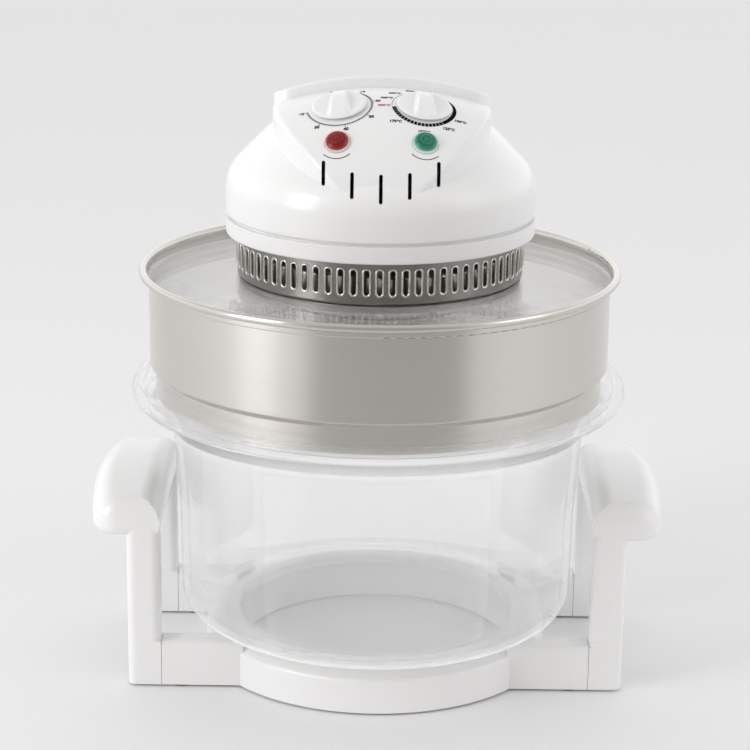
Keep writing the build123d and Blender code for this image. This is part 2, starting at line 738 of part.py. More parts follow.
# Wire fan guard: rings joined by bent spokes that hook under the pan's flange
with BuildPart() as fan_guard:
    guard_top = pan_flange_low - guard_wire
    guard_low = guard_top - guard_drop
    for radius in guard_rings:
        with BuildSketch(Plane.XZ):
            with Locations((radius, guard_low)):
                RegularPolygon(guard_wire, 8)
        revolve(axis=Axis.Z)
    with BuildSketch(Plane.XZ):
        with Locations((guard_radius, guard_top)):
            RegularPolygon(guard_wire, 8)
    revolve(axis=Axis.Z)
    with BuildLine(Plane.XZ) as spoke_path:
        FilletPolyline((guard_rings[0], guard_low), (guard_rings[-1] + guard_spoke_margin, guard_low),
                       (guard_radius, guard_top), radius=guard_bend)
    with BuildSketch(Plane.YZ.offset(guard_rings[0])) as spoke_section:
        with Locations((0, guard_low)):
            RegularPolygon(guard_spoke_wire, 8)
    spoke = sweep(spoke_section.sketch, path=spoke_path.wires()[0], mode=Mode.PRIVATE)
    with PolarLocations(0, guard_spokes):
        add(spoke)
finish(fan_guard.part, "fan_guard")

# Halogen tube: most of a circle, both ends turned up into their sockets
with BuildPart() as halogen_tube:
    with BuildLine():
        ring_arc = CenterArc((0, 0, tube_z), tube_circle, 90 + tube_gap_angle / 2,
                             360 - tube_gap_angle)
    with BuildSketch(Plane(ring_arc @ 0, z_dir=ring_arc % 0)):
        Circle(tube_radius)
    sweep(path=ring_arc)
    for place, direction in ((ring_arc @ 0, -(ring_arc % 0)), (ring_arc @ 1, ring_arc % 1)):
        with BuildLine() as bend:
            turn = ThreePointArc(place, place + direction * tube_bend * diagonal
                                 + Vector(0, 0, tube_bend * (1 - diagonal)),
                                 place + direction * tube_bend + Vector(0, 0, tube_bend))
            Line(turn @ 1, (turn @ 1) + Vector(0, 0, tube_riser))
        with BuildSketch(Plane(place, z_dir=direction)):
            Circle(tube_radius)
        sweep(path=bend.wires()[0])
finish(halogen_tube.part, "halogen_tube")

with BuildPart() as tube_sockets:
    socket_low = tube_z + tube_bend
    with Locations([(x, y, socket_low) for x, y in socket_places]):
        Cylinder(socket_radius, pan_top + socket_rise - socket_low, align=standing)
        Cylinder(tube_radius + tube_fit, tube_z + tube_bend + tube_riser + seat_gap - socket_low,
                 mode=Mode.SUBTRACT, align=standing)
finish(tube_sockets.part, "tube_sockets")

# Spring clips that hold the tube under the pan's ceiling
with BuildPart() as tube_clips:
    with BuildSketch(Plane.XZ.offset(-clip_width / 2)):
        with Locations((tube_circle, tube_z)):
            Circle(tube_radius + tube_fit + sheet)
            Circle(tube_radius + tube_fit, mode=Mode.SUBTRACT)
            with Locations((0, -tube_radius)):
                Rectangle(tube_radius, 2 * tube_radius, mode=Mode.SUBTRACT)
        with Locations((tube_circle, pan_ceiling)):
            Rectangle(sheet, tube_drop - tube_radius - tube_fit - sheet / 2,
                      align=(Align.CENTER, Align.MAX))
            Rectangle(2 * tube_radius, sheet, align=(Align.CENTER, Align.MAX))
    extrude(amount=clip_width)
    clip = tube_clips.part
    with PolarLocations(0, clip_count, start_angle=-90):
        add(clip, mode=Mode.REPLACE)
finish(tube_clips.part, "tube_clips")

# Motor bridge: a strap on two feet with the lower bearing in its deck
with BuildPart() as motor_bridge:
    with BuildSketch(Plane.XZ.offset(-bridge_width / 2)):
        with BuildLine():
            leg = bridge_span / 2
            foot_line = pan_top + bridge_sheet / 2
            deck_line = deck_low + bridge_sheet / 2
            FilletPolyline((-leg + bridge_foot, foot_line), (-leg, foot_line), (-leg, deck_line),
                           (leg, deck_line), (leg, foot_line), (leg - bridge_foot, foot_line),
                           radius=bridge_bend)
        trace(line_width=bridge_sheet)
    extrude(amount=bridge_width)
    with Locations((0, 0, deck_low)):
        Cylinder(bearing_radius, 4 * bridge_sheet, mode=Mode.SUBTRACT)
    with Locations((-motor_screw_offset, 0, deck_low), (motor_screw_offset, 0, deck_low)):
        Cylinder(motor_screw_radius + neck_clearance, 4 * bridge_sheet, mode=Mode.SUBTRACT)
finish(motor_bridge.part, "motor_bridge")

with BuildPart() as lower_bearing:
    with Locations((0, 0, deck_low - bearing_length)):
        Cylinder(bearing_radius, bearing_length + bridge_sheet, align=standing)
    with Locations((0, 0, deck_low - bearing_length)):
        Cylinder(bearing_radius + bearing_collar, bearing_length, align=standing)
    fillet(lower_bearing.edges().filter_by(GeomType.CIRCLE).sort_by(Axis.Z)[0], bearing_collar / 2)
    Cylinder(shaft_radius + bearing_clearance, 2 * deck_top + 2, mode=Mode.SUBTRACT)
finish(lower_bearing.part, "lower_bearing")

# Shaded pole motor: laminated core, coil on its back limb, upper bearing strap
with BuildPart() as motor_core:
    with BuildSketch(Plane.XY.offset(motor_low)):
        with Locations((0, (motor_back - motor_front) / 2)):
            Rectangle(motor_width, motor_front + motor_back)
        Circle(motor_bore, mode=Mode.SUBTRACT)
        with Locations((0, (window_near + window_far) / 2)):
            Rectangle(2 * window_half, window_far - window_near, mode=Mode.SUBTRACT)
        with Locations((-motor_screw_offset, 0), (motor_screw_offset, 0)):
            Circle(motor_screw_radius + neck_clearance, mode=Mode.SUBTRACT)
    extrude(amount=motor_stack)
finish(motor_core.part, "motor_core")

with BuildPart() as motor_coil:
    limb = (window_far + motor_back) / 2
    limb_width = motor_back - window_far
    with Locations((0, limb, (motor_low + motor_high) / 2)):
        Box(2 * (window_half - coil_end_gap), limb_width + 2 * coil_wall, motor_stack + 2 * coil_wall)
        fillet(motor_coil.edges().filter_by(Axis.X), coil_rounding)
        Box(2 * window_half, limb_width, motor_stack, mode=Mode.SUBTRACT)
finish(motor_coil.part, "motor_coil")

with BuildPart() as bearing_strap:
    with BuildSketch(Plane.XY.offset(strap_low)):
        SlotOverall(2 * motor_screw_offset + strap_width, strap_width)
    extrude(amount=bridge_sheet)
    with Locations((0, 0, strap_low - bearing_collar / 2)):
        Cylinder(bearing_radius + bearing_collar / 2, bearing_length, align=standing)
    Cylinder(shaft_radius + bearing_clearance, 3 * strap_low, mode=Mode.SUBTRACT)
    with Locations((-motor_screw_offset, 0, strap_low), (motor_screw_offset, 0, strap_low)):
        Cylinder(motor_screw_radius + neck_clearance, 4 * bridge_sheet, mode=Mode.SUBTRACT)
finish(bearing_strap.part, "bearing_strap")

with BuildPart() as motor_screws:
    head_low = deck_low - motor_screw_head_height
    head_high = strap_low + bridge_sheet
    for x in (-motor_screw_offset, motor_screw_offset):
        with Locations((x, 0, head_low)):
            Cylinder(motor_screw_radius, head_high + motor_screw_head_height - head_low, align=standing)
        for low in (head_low, head_high):
            with Locations((x, 0, low)):
                Cylinder(motor_screw_head, motor_screw_head_height, align=standing)
        for low in (deck_top, motor_high):
            with Locations((x, 0, low)):
                Cylinder(motor_sleeve_radius, motor_sleeve, align=standing)
finish(motor_screws.part, "motor_screws")

# Rotor: shaft, rotor core, cooling fan, hot air fan and its nut
fan_seat = pan_ceiling - hot_fan_clearance
nut_high = fan_seat - hot_fan_height - seat_gap
with BuildPart() as rotor_shaft:
    shaft_low = nut_high - nut_height - shaft_overrun
    with Locations((0, 0, shaft_low)):
        Cylinder(shaft_radius, strap_low + bearing_length - shaft_low, align=standing)
finish(rotor_shaft.part, "rotor_shaft")

with BuildPart() as rotor_core:
    with Locations((0, 0, motor_low)):
        Cylinder(motor_bore - motor_air_gap, motor_stack, align=standing)
        Cylinder(shaft_radius, motor_stack, mode=Mode.SUBTRACT, align=standing)
finish(rotor_core.part, "rotor_core")

with BuildPart() as hot_air_fan:
    with BuildSketch(Plane.XY.offset(fan_seat - sheet)):
        Circle(hot_fan_plate)
    extrude(amount=sheet)
    with Locations((0, 0, fan_seat - hot_fan_height)):
        Cylinder(shaft_radius + fan_hub_wall, hot_fan_height, align=standing)
    with BuildSketch(Plane.XY.offset(fan_seat)):
        with PolarLocations(0, hot_fan_blades):
            with Locations(Location((hot_fan_blade_start, 0), hot_fan_blade_turn)):
                Rectangle(hot_fan_blade_end - hot_fan_blade_start, fan_blade_thickness,
                          align=(Align.MIN, Align.CENTER))
    extrude(amount=-hot_fan_height)
    Cylinder(shaft_radius, 2 * fan_seat + 2, mode=Mode.SUBTRACT)
finish(hot_air_fan.part, "hot_air_fan")

with BuildPart() as fan_nut:
    with BuildSketch(Plane.XY.offset(nut_high - nut_height)):
        RegularPolygon(shaft_radius + fan_hub_wall, 6)
        Circle(shaft_radius, mode=Mode.SUBTRACT)
    extrude(amount=nut_height)
finish(fan_nut.part, "fan_nut")

cool_low = pan_top + cool_fan_lift
with BuildPart() as blade:
    middle_z = cool_low + cool_fan_height / 2
    for reach, pitch in ((cool_fan_hub - fan_hub_wall, cool_fan_root_pitch),
                         (cool_fan_radius, cool_fan_tip_pitch)):
        with BuildSketch(Plane(origin=(reach, 0, middle_z), x_dir=(0, 1, 0), z_dir=(1, 0, 0))
                         .rotated((0, 0, pitch))):
            Rectangle(cool_fan_chord, fan_blade_thickness)
    loft()
    with BuildSketch(Plane.XY.offset(cool_low)):
        Circle(cool_fan_radius)
    extrude(amount=cool_fan_height, mode=Mode.INTERSECT)
with BuildPart() as cooling_fan:
    with Locations((0, 0, cool_low)):
        Cylinder(cool_fan_hub, cool_fan_height, align=standing)
    with PolarLocations(0, cool_fan_blades):
        add(blade.part)
    Cylinder(shaft_radius, 2 * (cool_low + cool_fan_height) + 2, mode=Mode.SUBTRACT)
finish(cooling_fan.part, "cooling_fan")

# Lower housing: floor and white band, with a lip that the dome drops over
with BuildPart() as lower_housing:
    lip_outer = housing_radius - housing_wall - lip_clearance
    with BuildSketch(Plane.XZ) as band_profile:
        Polygon((floor_opening, skirt_top), (housing_radius, skirt_top), (housing_radius, lower_top),
                (lip_outer, lower_top), (lip_outer, dome_low + lip_rise),
                (lip_outer - lip_width, dome_low + lip_rise), (lip_outer - lip_width, floor_top),
                (floor_opening, floor_top), align=None)
        outer_low, outer_high = band_profile.vertices().group_by(Axis.X)[-1].sort_by(Axis.Y)
        fillet(outer_low, band_rounding)
        fillet(outer_high, groove_rounding)
    revolve(axis=Axis.Z)
    with Locations([(x, y, skirt_top) for x, y in boss_places]):
        Cylinder(stand_screw_radius + seat_gap, 3 * housing_wall, mode=Mode.SUBTRACT)
finish(lower_housing.part, "lower_housing")

with BuildPart() as housing_screws:
    with Locations([(x, y, skirt_top - sheet - screw_head_height) for x, y in boss_places]):
        Cylinder(stand_screw_head, screw_head_height, align=standing)
        Cylinder(stand_screw_radius, screw_head_height + housing_screw_length, align=standing)
finish(housing_screws.part, "housing_screws")

# Top housing: dome and console as one thin moulding
timer_plane = panel_plane(-knob_x, knob_y)
thermostat_plane = panel_plane(knob_x, knob_y)
left_lamp_plane = panel_plane(-lamp_x, lamp_y)
right_lamp_plane = panel_plane(lamp_x, lamp_y)

outer_console = console_form(0)
inner_console = console_form(housing_wall)
outer_dome = dome_form(0)
inner_dome = dome_form(housing_wall)
with BuildPart() as top_housing:
    add(outer_console)
    top_edges = top_housing.edges().filter_by(lambda e: e.center().Z > console_centre + console_fillet)
    fillet(top_edges, console_fillet)
    add(outer_dome)
    lower_edges = top_housing.edges().filter_by(GeomType.CIRCLE).group_by(Axis.Z)[0]
    fillet(lower_edges, groove_rounding)
    # ears for the handle's pins
    for side in (-1, 1):
        with BuildSketch(Plane.YZ.offset(side * (ear_inner + ear_width / 2) - ear_width / 2)):
            with Locations((pin_y, pin_z)):
                Circle(ear_radius)
                Rectangle(2 * ear_radius, pin_z - ear_root, align=(Align.CENTER, Align.MAX))
        extrude(amount=ear_width)
    add(inner_dome, mode=Mode.SUBTRACT)
    add(inner_console, mode=Mode.SUBTRACT)
    # three screw bosses, each tied to the wall by a rib
    rib_low = dome_low + lip_rise + lip_top_gap
    for x, y in boss_places:
        with Locations((x, y, floor_top + seam_gap)):
            Cylinder(boss_radius, boss_height, align=standing)
        with BuildSketch(Plane((0, 0, rib_low), x_dir=(x, y, 0))):
            with Locations((boss_circle, 0)):
                Rectangle(housing_radius - boss_circle - housing_wall / 2, housing_wall,
                          align=(Align.MIN, Align.CENTER))
        extrude(amount=floor_top + seam_gap + boss_height - rib_low)
        with Locations((x, y, floor_top)):
            Cylinder(stand_screw_radius, boss_height, mode=Mode.SUBTRACT, align=standing)
    # five vent slots under the lamps
    for x, low, high in vent_slots:
        for side in {-1, 1} if x else {1}:
            with BuildSketch(Plane.XZ.offset(console_length / 2)):
                with Locations((side * x, dome_low + (low + high) / 2)):
                    SlotOverall(high - low, vent_slot_width, rotation=90)
            extrude(amount=console_length, mode=Mode.SUBTRACT)
    for plane in (timer_plane, thermostat_plane):
        with BuildSketch(plane.offset(-unit_drop)):
            Circle(control_neck + neck_clearance)
        extrude(amount=2 * unit_drop, mode=Mode.SUBTRACT)
    for plane in (left_lamp_plane, right_lamp_plane):
        with BuildSketch(plane.offset(-lamp_depth / 2)):
            Circle(lamp_radius + neck_clearance)
        extrude(amount=lamp_depth, mode=Mode.SUBTRACT)
        with BuildSketch(plane.offset(-lamp_recess)):
            Circle(lamp_flange + neck_clearance)
        extrude(amount=lamp_depth, mode=Mode.SUBTRACT)
    with Locations((0, plunger_y, roof)):
        Cylinder(plunger_radius + seat_gap, 4 * housing_wall, mode=Mode.SUBTRACT)
    for side in (-1, 1):
        with BuildSketch(Plane.YZ.offset(side * (ear_inner + ear_width / 2) - ear_width)):
            with Locations((pin_y, pin_z)):
                Circle(pin_radius + pin_clearance)
        extrude(amount=2 * ear_width, mode=Mode.SUBTRACT)
    with BuildSketch(Plane.XZ.offset(-housing_radius - housing_wall)):
        with Locations((0, gland_z)):
            Circle(gland_neck + neck_clearance)
    extrude(amount=8 * housing_wall, mode=Mode.SUBTRACT)
finish(top_housing.part, "top_housing")

# Controls
timer_unit = control_unit(timer_plane, timer_radius, timer_depth)
finish(timer_unit, "timer_unit")
thermostat_unit = control_unit(thermostat_plane, thermostat_radius, thermostat_depth)
finish(thermostat_unit, "thermostat_unit")
for name, plane, depth in (("timer", timer_plane, timer_depth),
                           ("temperature", thermostat_plane, thermostat_depth)):
    finish(control_knob(plane), f"{name}_knob")
    finish(control_spindle(plane, depth), f"{name}_spindle")

with BuildPart() as lamp_bodies:
    for plane in (left_lamp_plane, right_lamp_plane):
        with BuildSketch(plane.offset(-lamp_recess)):
            Circle(lamp_flange)
        extrude(amount=lamp_recess + lamp_proud)
        with BuildSketch(plane.offset(-lamp_recess - lamp_depth)):
            Circle(lamp_radius)
        extrude(amount=lamp_depth)
finish(lamp_bodies.part, "lamp_bodies")
finish(lens(left_lamp_plane), "red_lens")
finish(lens(right_lamp_plane), "green_lens")

# Carry handle: a crowned U strap made flat, then laid behind the console
with BuildPart() as strap:
    with BuildSketch(Plane.XZ):
        with Locations((0, -handle_crown)):
            Circle(handle_crown)
            Circle(handle_crown - handle_thickness, mode=Mode.SUBTRACT)
        with Locations((0, -handle_thickness)):
            Rectangle(2 * handle_half_width, 6 * handle_thickness, mode=Mode.INTERSECT)
    extrude(amount=handle_reach + handle_bar, both=True)
    with BuildSketch() as plan:
        length = handle_bar / 2 + handle_reach + handle_end
        with Locations((0, -handle_bar / 2)):
            Rectangle(2 * handle_half_width, length, align=(Align.CENTER, Align.MIN))
        with Locations((0, handle_bar / 2)):
            Rectangle(2 * (handle_half_width - handle_leg), length, mode=Mode.SUBTRACT,
                      align=(Align.CENTER, Align.MIN))
        fillet(plan.vertices().group_by(Axis.Y)[0], handle_leg)
        fillet(plan.vertices().group_by(Axis.Y)[-1], handle_end_rounding)
        inside = plan.vertices().filter_by(lambda v: abs(abs(v.X) - handle_half_width + handle_leg) < 0.01)
        fillet(inside.sort_by(Axis.Y)[:2], handle_leg / 2)
    extrude(amount=8 * handle_thickness, both=True, mode=Mode.INTERSECT)
    fillet(strap.edges(), handle_edge)

with BuildPart() as carry_handle:
    with Locations(handle_plane):
        add(strap.part)
    with Locations((0, pin_y, pin_z)):
        Cylinder(pin_radius, 4 * handle_half_width, rotation=(0, 90, 0), mode=Mode.SUBTRACT)
finish(carry_handle.part, "carry_handle")

with BuildPart() as handle_pins:
    for side in (-1, 1):
        with Locations((side * (ear_inner + pin_recess), pin_y, pin_z)):
            Cylinder(pin_radius, handle_half_width - ear_inner - 2 * pin_recess, rotation=(0, side * 90, 0),
                     align=standing)
finish(handle_pins.part, "handle_pins")

# Safety plunger under the handle's bar, and the switch it works
plunger_top = handle_under - seat_gap
with BuildPart() as safety_plunger:
    with Locations((0, plunger_y, roof - housing_wall - plunger_depth)):
        Cylinder(plunger_radius, plunger_top - roof + housing_wall + plunger_depth, align=standing)
    with Locations((0, plunger_y, roof + seat_gap)):
        Cylinder(plunger_head, plunger_top - roof - seat_gap, align=standing)
    fillet(safety_plunger.edges().filter_by(GeomType.CIRCLE).sort_by(Axis.Z)[-1], plunger_rounding)
finish(safety_plunger.part, "safety_plunger")

with BuildPart() as micro_switch:
    switch_top = roof - housing_wall - seat_gap
    with Locations((0, plunger_y, switch_top)):
        Box(*switch_size, align=(Align.CENTER, Align.CENTER, Align.MAX))
        Cylinder(plunger_radius + seat_gap, 2 * plunger_depth, mode=Mode.SUBTRACT)
    with Locations((0, plunger_y, switch_top - switch_size[2])):
        with GridLocations(switch_pin_spacing, 0, 3, 1):
            Box(*switch_pin, align=(Align.CENTER, Align.CENTER, Align.MAX))
finish(micro_switch.part, "micro_switch")

# Terminal block on the floor, and the gland where a cord enters
with BuildPart() as terminal_block:
    with Locations((0, terminal_y, floor_top)):
        Box(*terminal_size, align=standing)
    with Locations((0, terminal_y, floor_top + terminal_size[2])):
        with GridLocations(terminal_size[0] / 3, 0, 3, 1):
            Cylinder(terminal_bore, 2 * terminal_bore_depth, mode=Mode.SUBTRACT)
finish(terminal_block.part, "terminal_block")

with BuildPart() as cord_gland:
    with BuildSketch(Plane.XZ.offset(-housing_radius - seat_gap)):
        with Locations((0, gland_z)):
            Circle(gland_radius)
    extrude(amount=-gland_flange)
    with BuildSketch(Plane.XZ.offset(-housing_radius - seat_gap)):
        with Locations((0, gland_z)):
            Circle(gland_neck)
    extrude(amount=3 * housing_wall)
    with BuildSketch(Plane.XZ.offset(-housing_radius - 2 * gland_flange)):
        with Locations((0, gland_z)):
            Circle(gland_bore)
    extrude(amount=5 * housing_wall, mode=Mode.SUBTRACT)
finish(cord_gland.part, "cord_gland")

with BuildPart() as guard_screws:
    with PolarLocations(guard_radius, guard_screw_count, start_angle=180 / guard_spokes):
        with Locations((0, 0, guard_top - guard_wire - sheet)):
            Cylinder(screw_head_radius, sheet, align=standing)
finish(guard_screws.part, "guard_screws")
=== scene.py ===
import json
import bmesh
import bpy
import numpy as np
from math import radians, pi
from mathutils import Matrix, Vector


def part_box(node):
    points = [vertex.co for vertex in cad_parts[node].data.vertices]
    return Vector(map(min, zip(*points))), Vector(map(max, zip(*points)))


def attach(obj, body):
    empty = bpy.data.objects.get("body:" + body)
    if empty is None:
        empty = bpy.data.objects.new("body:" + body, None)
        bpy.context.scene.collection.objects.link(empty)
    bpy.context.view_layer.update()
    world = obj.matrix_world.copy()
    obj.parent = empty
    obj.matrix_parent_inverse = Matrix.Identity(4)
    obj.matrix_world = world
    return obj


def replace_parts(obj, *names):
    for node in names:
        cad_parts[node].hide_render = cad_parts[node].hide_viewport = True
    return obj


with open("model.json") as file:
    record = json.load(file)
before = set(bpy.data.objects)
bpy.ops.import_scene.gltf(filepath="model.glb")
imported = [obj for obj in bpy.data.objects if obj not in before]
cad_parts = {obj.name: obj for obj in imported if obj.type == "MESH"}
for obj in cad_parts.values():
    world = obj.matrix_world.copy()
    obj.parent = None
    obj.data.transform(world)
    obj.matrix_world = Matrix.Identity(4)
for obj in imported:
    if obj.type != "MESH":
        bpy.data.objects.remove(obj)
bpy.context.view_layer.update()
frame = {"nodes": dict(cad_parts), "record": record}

# Halogen oven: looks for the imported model. Metres, +Z up, front towards -Y.
print("frame loaded:", len(frame["nodes"]), "nodes")

# ---- camera, floor and studio light ----

shot = {
    "place": (0.0, -1.510, 0.639),
    "pitchDown": 16.28,      # degrees below the horizon
    "turn": 0.09,            # degrees to the left
    "roll": 0.7,
    "lens": 111.3,
    "sensor": 36.0,
}

studio = {
    "floorRings": (0.0, 0.6, 2.0, 8.0, 40.0),
    "floorSteps": 96,
    "floorColour": (0.90, 0.895, 0.905),
    "cardColour": (0.54, 0.535, 0.53),   # grey card on the floor in front, out of view
    "cardNear": (0.36, 0.52),
    "cardLeft": (-0.80, -0.42),          # across over forwards, from the axis
    "cardRight": (0.62, 1.10),
    "skyBright": 1.0,
    "skyDark": 0.42,         # the dim side of the studio, behind the camera
    "skyDarkSide": (0.0, -1.0, -0.05),
    "skyDarkFrom": (0.35, 0.9),          # cosine from that side where the dimming starts and ends
    "skyWarm": (0.93, 0.85),             # green and blue over red on the dim side
    "skyTop": 0.60,          # the sky overhead against the horizon
    "skyTopFrom": (0.25, 0.95),
    "skyStrength": 1.18,
}

# each light: place, aim, size across and up, power in watts
softLights = {
    "leftSoftbox": ((-1.75, -1.05, 0.95), (0, 0, 0.22), 0.75, 1.3, 13.5),
    "rightSoftbox": ((1.9, -0.7, 1.1), (0, 0, 0.22), 1.0, 1.3, 3.5),
}


def makeCamera():
    data = bpy.data.cameras.new("studioCamera")
    data.lens = shot["lens"]
    data.sensor_width = shot["sensor"]
    data.clip_end = 100
    camera = bpy.data.objects.new("studioCamera", data)
    bpy.context.scene.collection.objects.link(camera)
    upright = Matrix.Rotation(radians(90 - shot["pitchDown"]), 4, "X")
    turned = Matrix.Rotation(radians(shot["turn"]), 4, "Z")
    rolled = Matrix.Rotation(radians(shot["roll"]), 4, "Z")
    camera.matrix_world = Matrix.Translation(shot["place"]) @ turned @ upright @ rolled
    bpy.context.scene.camera = camera


def makeLights():
    for name, (place, aim, across, up, power) in softLights.items():
        data = bpy.data.lights.new(name, "AREA")
        data.shape = "RECTANGLE"
        data.size, data.size_y, data.energy = across, up, power
        light = bpy.data.objects.new(name, data)
        direction = Vector(aim) - Vector(place)
        light.matrix_world = Matrix.Translation(place) @ direction.to_track_quat("-Z", "Y").to_matrix().to_4x4()
        bpy.context.scene.collection.objects.link(light)


# ---- shader maths ----

class Wire:
    # a socket whose sums, differences, products and quotients become Math nodes
    def __init__(self, finish, socket):
        self.finish, self.socket = finish, socket

    def sum(self, operation, first, second):
        return self.finish.node("ShaderNodeMath", {"operation": operation}, {0: first, 1: second})

    def __add__(self, other):
        return self.sum("ADD", self, other)

    def __radd__(self, other):
        return self.sum("ADD", other, self)

    def __sub__(self, other):
        return self.sum("SUBTRACT", self, other)

    def __rsub__(self, other):
        return self.sum("SUBTRACT", other, self)

    def __mul__(self, other):
        return self.sum("MULTIPLY", self, other)

    def __rmul__(self, other):
        return self.sum("MULTIPLY", other, self)

    def __truediv__(self, other):
        return self.sum("DIVIDE", self, other)

    def __pow__(self, other):
        return self.sum("POWER", self, other)


class Finish:
    # one material; node() adds any node: its type, its settings, the values or wires of its sockets
    def __init__(self, name, fixed):
        self.material = bpy.data.materials.new(name)
        self.material.use_nodes = True
        self.nodes = self.material.node_tree.nodes
        self.links = self.material.node_tree.links
        self.shader = self.nodes["Principled BSDF"]
        for socket, value in fixed.items():
            self.shader.inputs[socket].default_value = value

    def node(self, kind, settings=None, inputs=None, out=0):
        made = self.nodes.new(kind)
        for key, value in (settings or {}).items():
            if key == "stops":
                for stop, (place, colour) in zip(made.color_ramp.elements, value):
                    stop.position, stop.color = place, colour
            else:
                setattr(made, key, value)
        for key, value in (inputs or {}).items():
            if isinstance(value, Wire):
                self.links.new(value.socket, made.inputs[key])
            else:
                made.inputs[key].default_value = value
        return Wire(self, made.outputs[out])

    def feed(self, socket, wire):
        self.links.new(wire.socket, self.shader.inputs[socket])

    def place(self):
        return self.node("ShaderNodeTexCoord", out="Object")

    def noise(self, vector, scale, detail=2.0, roughness=0.5):
        return self.node("ShaderNodeTexNoise", None, {"Vector": vector, "Scale": scale, "Detail": detail,
                                                      "Roughness": roughness}, "Fac")

    def blend(self, share, first, second):
        return self.node("ShaderNodeMix", {"data_type": "RGBA"},
                         {"Factor": share, "A": first, "B": second}, "Result")

    def bump(self, height, distance, strength=1.0):
        self.feed("Normal", self.node("ShaderNodeBump", None, {"Height": height, "Distance": distance,
                                                              "Strength": strength}, "Normal"))

    def step(self, value, low, high):
        return self.node("ShaderNodeMapRange", {"interpolation_type": "SMOOTHSTEP"},
                         {"Value": value, "From Min": low, "From Max": high}, "Result")


def shade(red, green=None, blue=None, alpha=1.0):
    green = red if green is None else green
    blue = red if blue is None else blue
    return (red, green, blue, alpha)


# x, y and z of a place, and its distance from the Z axis
def cylinderParts(finish):
    place = finish.place()
    parts = finish.nodes.new("ShaderNodeSeparateXYZ")
    finish.links.new(place.socket, parts.inputs[0])
    x, y, z = (Wire(finish, parts.outputs[i]) for i in range(3))
    return place, x, y, z, (x * x + y * y) ** 0.5


# streaks round the Z axis: noise read at (x/r, y/r, (z + r) times a fine pitch)
def turnedStreaks(finish, pitch, around):
    place, x, y, z, reach = cylinderParts(finish)
    spread = finish.node("ShaderNodeCombineXYZ", None,
                         {0: x / reach * around, 1: y / reach * around, 2: (z + reach) * pitch}, "Vector")
    return finish.noise(spread, 1.0, 3.0, 0.6)


# moulded plastic: colour between dim times itself and itself by a noise cloud; roughness plus (cloud - 0.5) times
# its spread; fine noise as bump; a thin coat on top
def glossPlastic(name, colour, roughness, values):
    finish = Finish(name, {"Roughness": roughness, "Coat Weight": values["coat"],
                           "Coat Roughness": values["coatRough"], "Subsurface Weight": values["glow"],
                           "Subsurface Scale": values["glowDepth"], "IOR": 1.49})
    place = finish.place()
    cloud = finish.noise(place, values["cloudScale"], 3.0)
    finish.feed("Base Color", finish.blend(cloud, shade(*[c * values["dim"] for c in colour]), shade(*colour)))
    skin = finish.noise(place, values["skinScale"], 2.0)
    finish.feed("Roughness", roughness + (cloud - 0.5) * values["roughSpread"])
    finish.bump(skin, values["skinDepth"])
    return finish.material


plasticValues = {"coat": 0.25, "coatRough": 0.12, "glow": 0.03, "glowDepth": 0.003, "cloudScale": 9.0,
                 "dim": 0.985, "skinScale": 900.0, "skinDepth": 0.00001, "roughSpread": 0.08}
steelValues = {"pitch": 5200.0, "around": 1.5, "dark": (0.62, 0.595, 0.56), "light": (0.66, 0.64, 0.61),
               "rough": 0.22, "roughSpread": 0.04, "anisotropy": 0.75, "turn": 0.25, "depth": 0.0000004}
# the skirt's steel, darkened: painted shade for the dark reflections of the housing's underside and the lid above
# it
skirtPaintedShadeValues = dict(steelValues, dark=(0.27, 0.26, 0.245), light=(0.34, 0.33, 0.31), rough=0.34)
# the slot rims' steel, lightened: a painted highlight on the pressed lips, which are of the skirt's own sheet
rimPaintedHighlightValues = dict(steelValues, dark=(0.74, 0.72, 0.69), light=(0.84, 0.82, 0.79), rough=0.20)
# rim: grey mixed in where the glass turns away, a painted dark edge for the lines refraction and reflection draw
# there
glassValues = {"tint": (0.95, 0.98, 0.97), "rim": (0.30, 0.31, 0.31), "rimPower": 7.0, "clear": 0.08,
               "edge": 0.90, "power": 2.4, "ior": 1.47}
lidGlassValues = dict(glassValues, tint=(0.80, 0.80, 0.785), clear=0.36, edge=0.62)


# turned steel: dark to light by a smooth step, from 0.3 to 0.7, of 0.8 streaks + 0.2 clouds; roughness plus
# (streaks - 0.5) times its spread; the streaks as bump
def brushedSteel(name, values):
    finish = Finish(name, {"Metallic": 1.0, "Anisotropic": values["anisotropy"],
                           "Anisotropic Rotation": values["turn"]})
    streaks = turnedStreaks(finish, values["pitch"], values["around"])
    clouds = finish.noise(finish.place(), 14.0, 2.0)
    mark = finish.step(streaks * 0.8 + clouds * 0.2, 0.3, 0.7)
    finish.feed("Base Color", finish.blend(mark, shade(*values["dark"]), shade(*values["light"])))
    finish.feed("Roughness", values["rough"] + (streaks - 0.5) * values["roughSpread"])
    finish.bump(streaks, values["depth"])
    return finish.material


# glass: alpha is clear + facing^power times (edge - clear), colour goes from tint to rim by facing^rimPower, and
# roughness is 0.008 + 0.02 times a noise of smears; facing grows where the surface turns away
# the grey rim colour where the glass turns away is a painted dark edge, standing in for refraction and reflection
def clearGlass(name, values):
    finish = Finish(name, {"Base Color": shade(*values["tint"]), "Roughness": 0.02, "Transmission Weight": 1.0,
                           "IOR": values["ior"]})
    facing = finish.node("ShaderNodeLayerWeight", None, {"Blend": 0.5}, "Facing")
    smears = finish.noise(finish.place(), 22.0, 3.0)
    # painted dark edge: grey mixed into the colour where the glass turns away
    finish.feed("Base Color", finish.blend(facing ** values["rimPower"], shade(*values["tint"]),
                                           shade(*values["rim"])))
    finish.feed("Alpha", values["clear"] + facing ** values["power"] * (values["edge"] - values["clear"]))
    finish.feed("Roughness", 0.008 + smears * 0.02)
    return finish.material


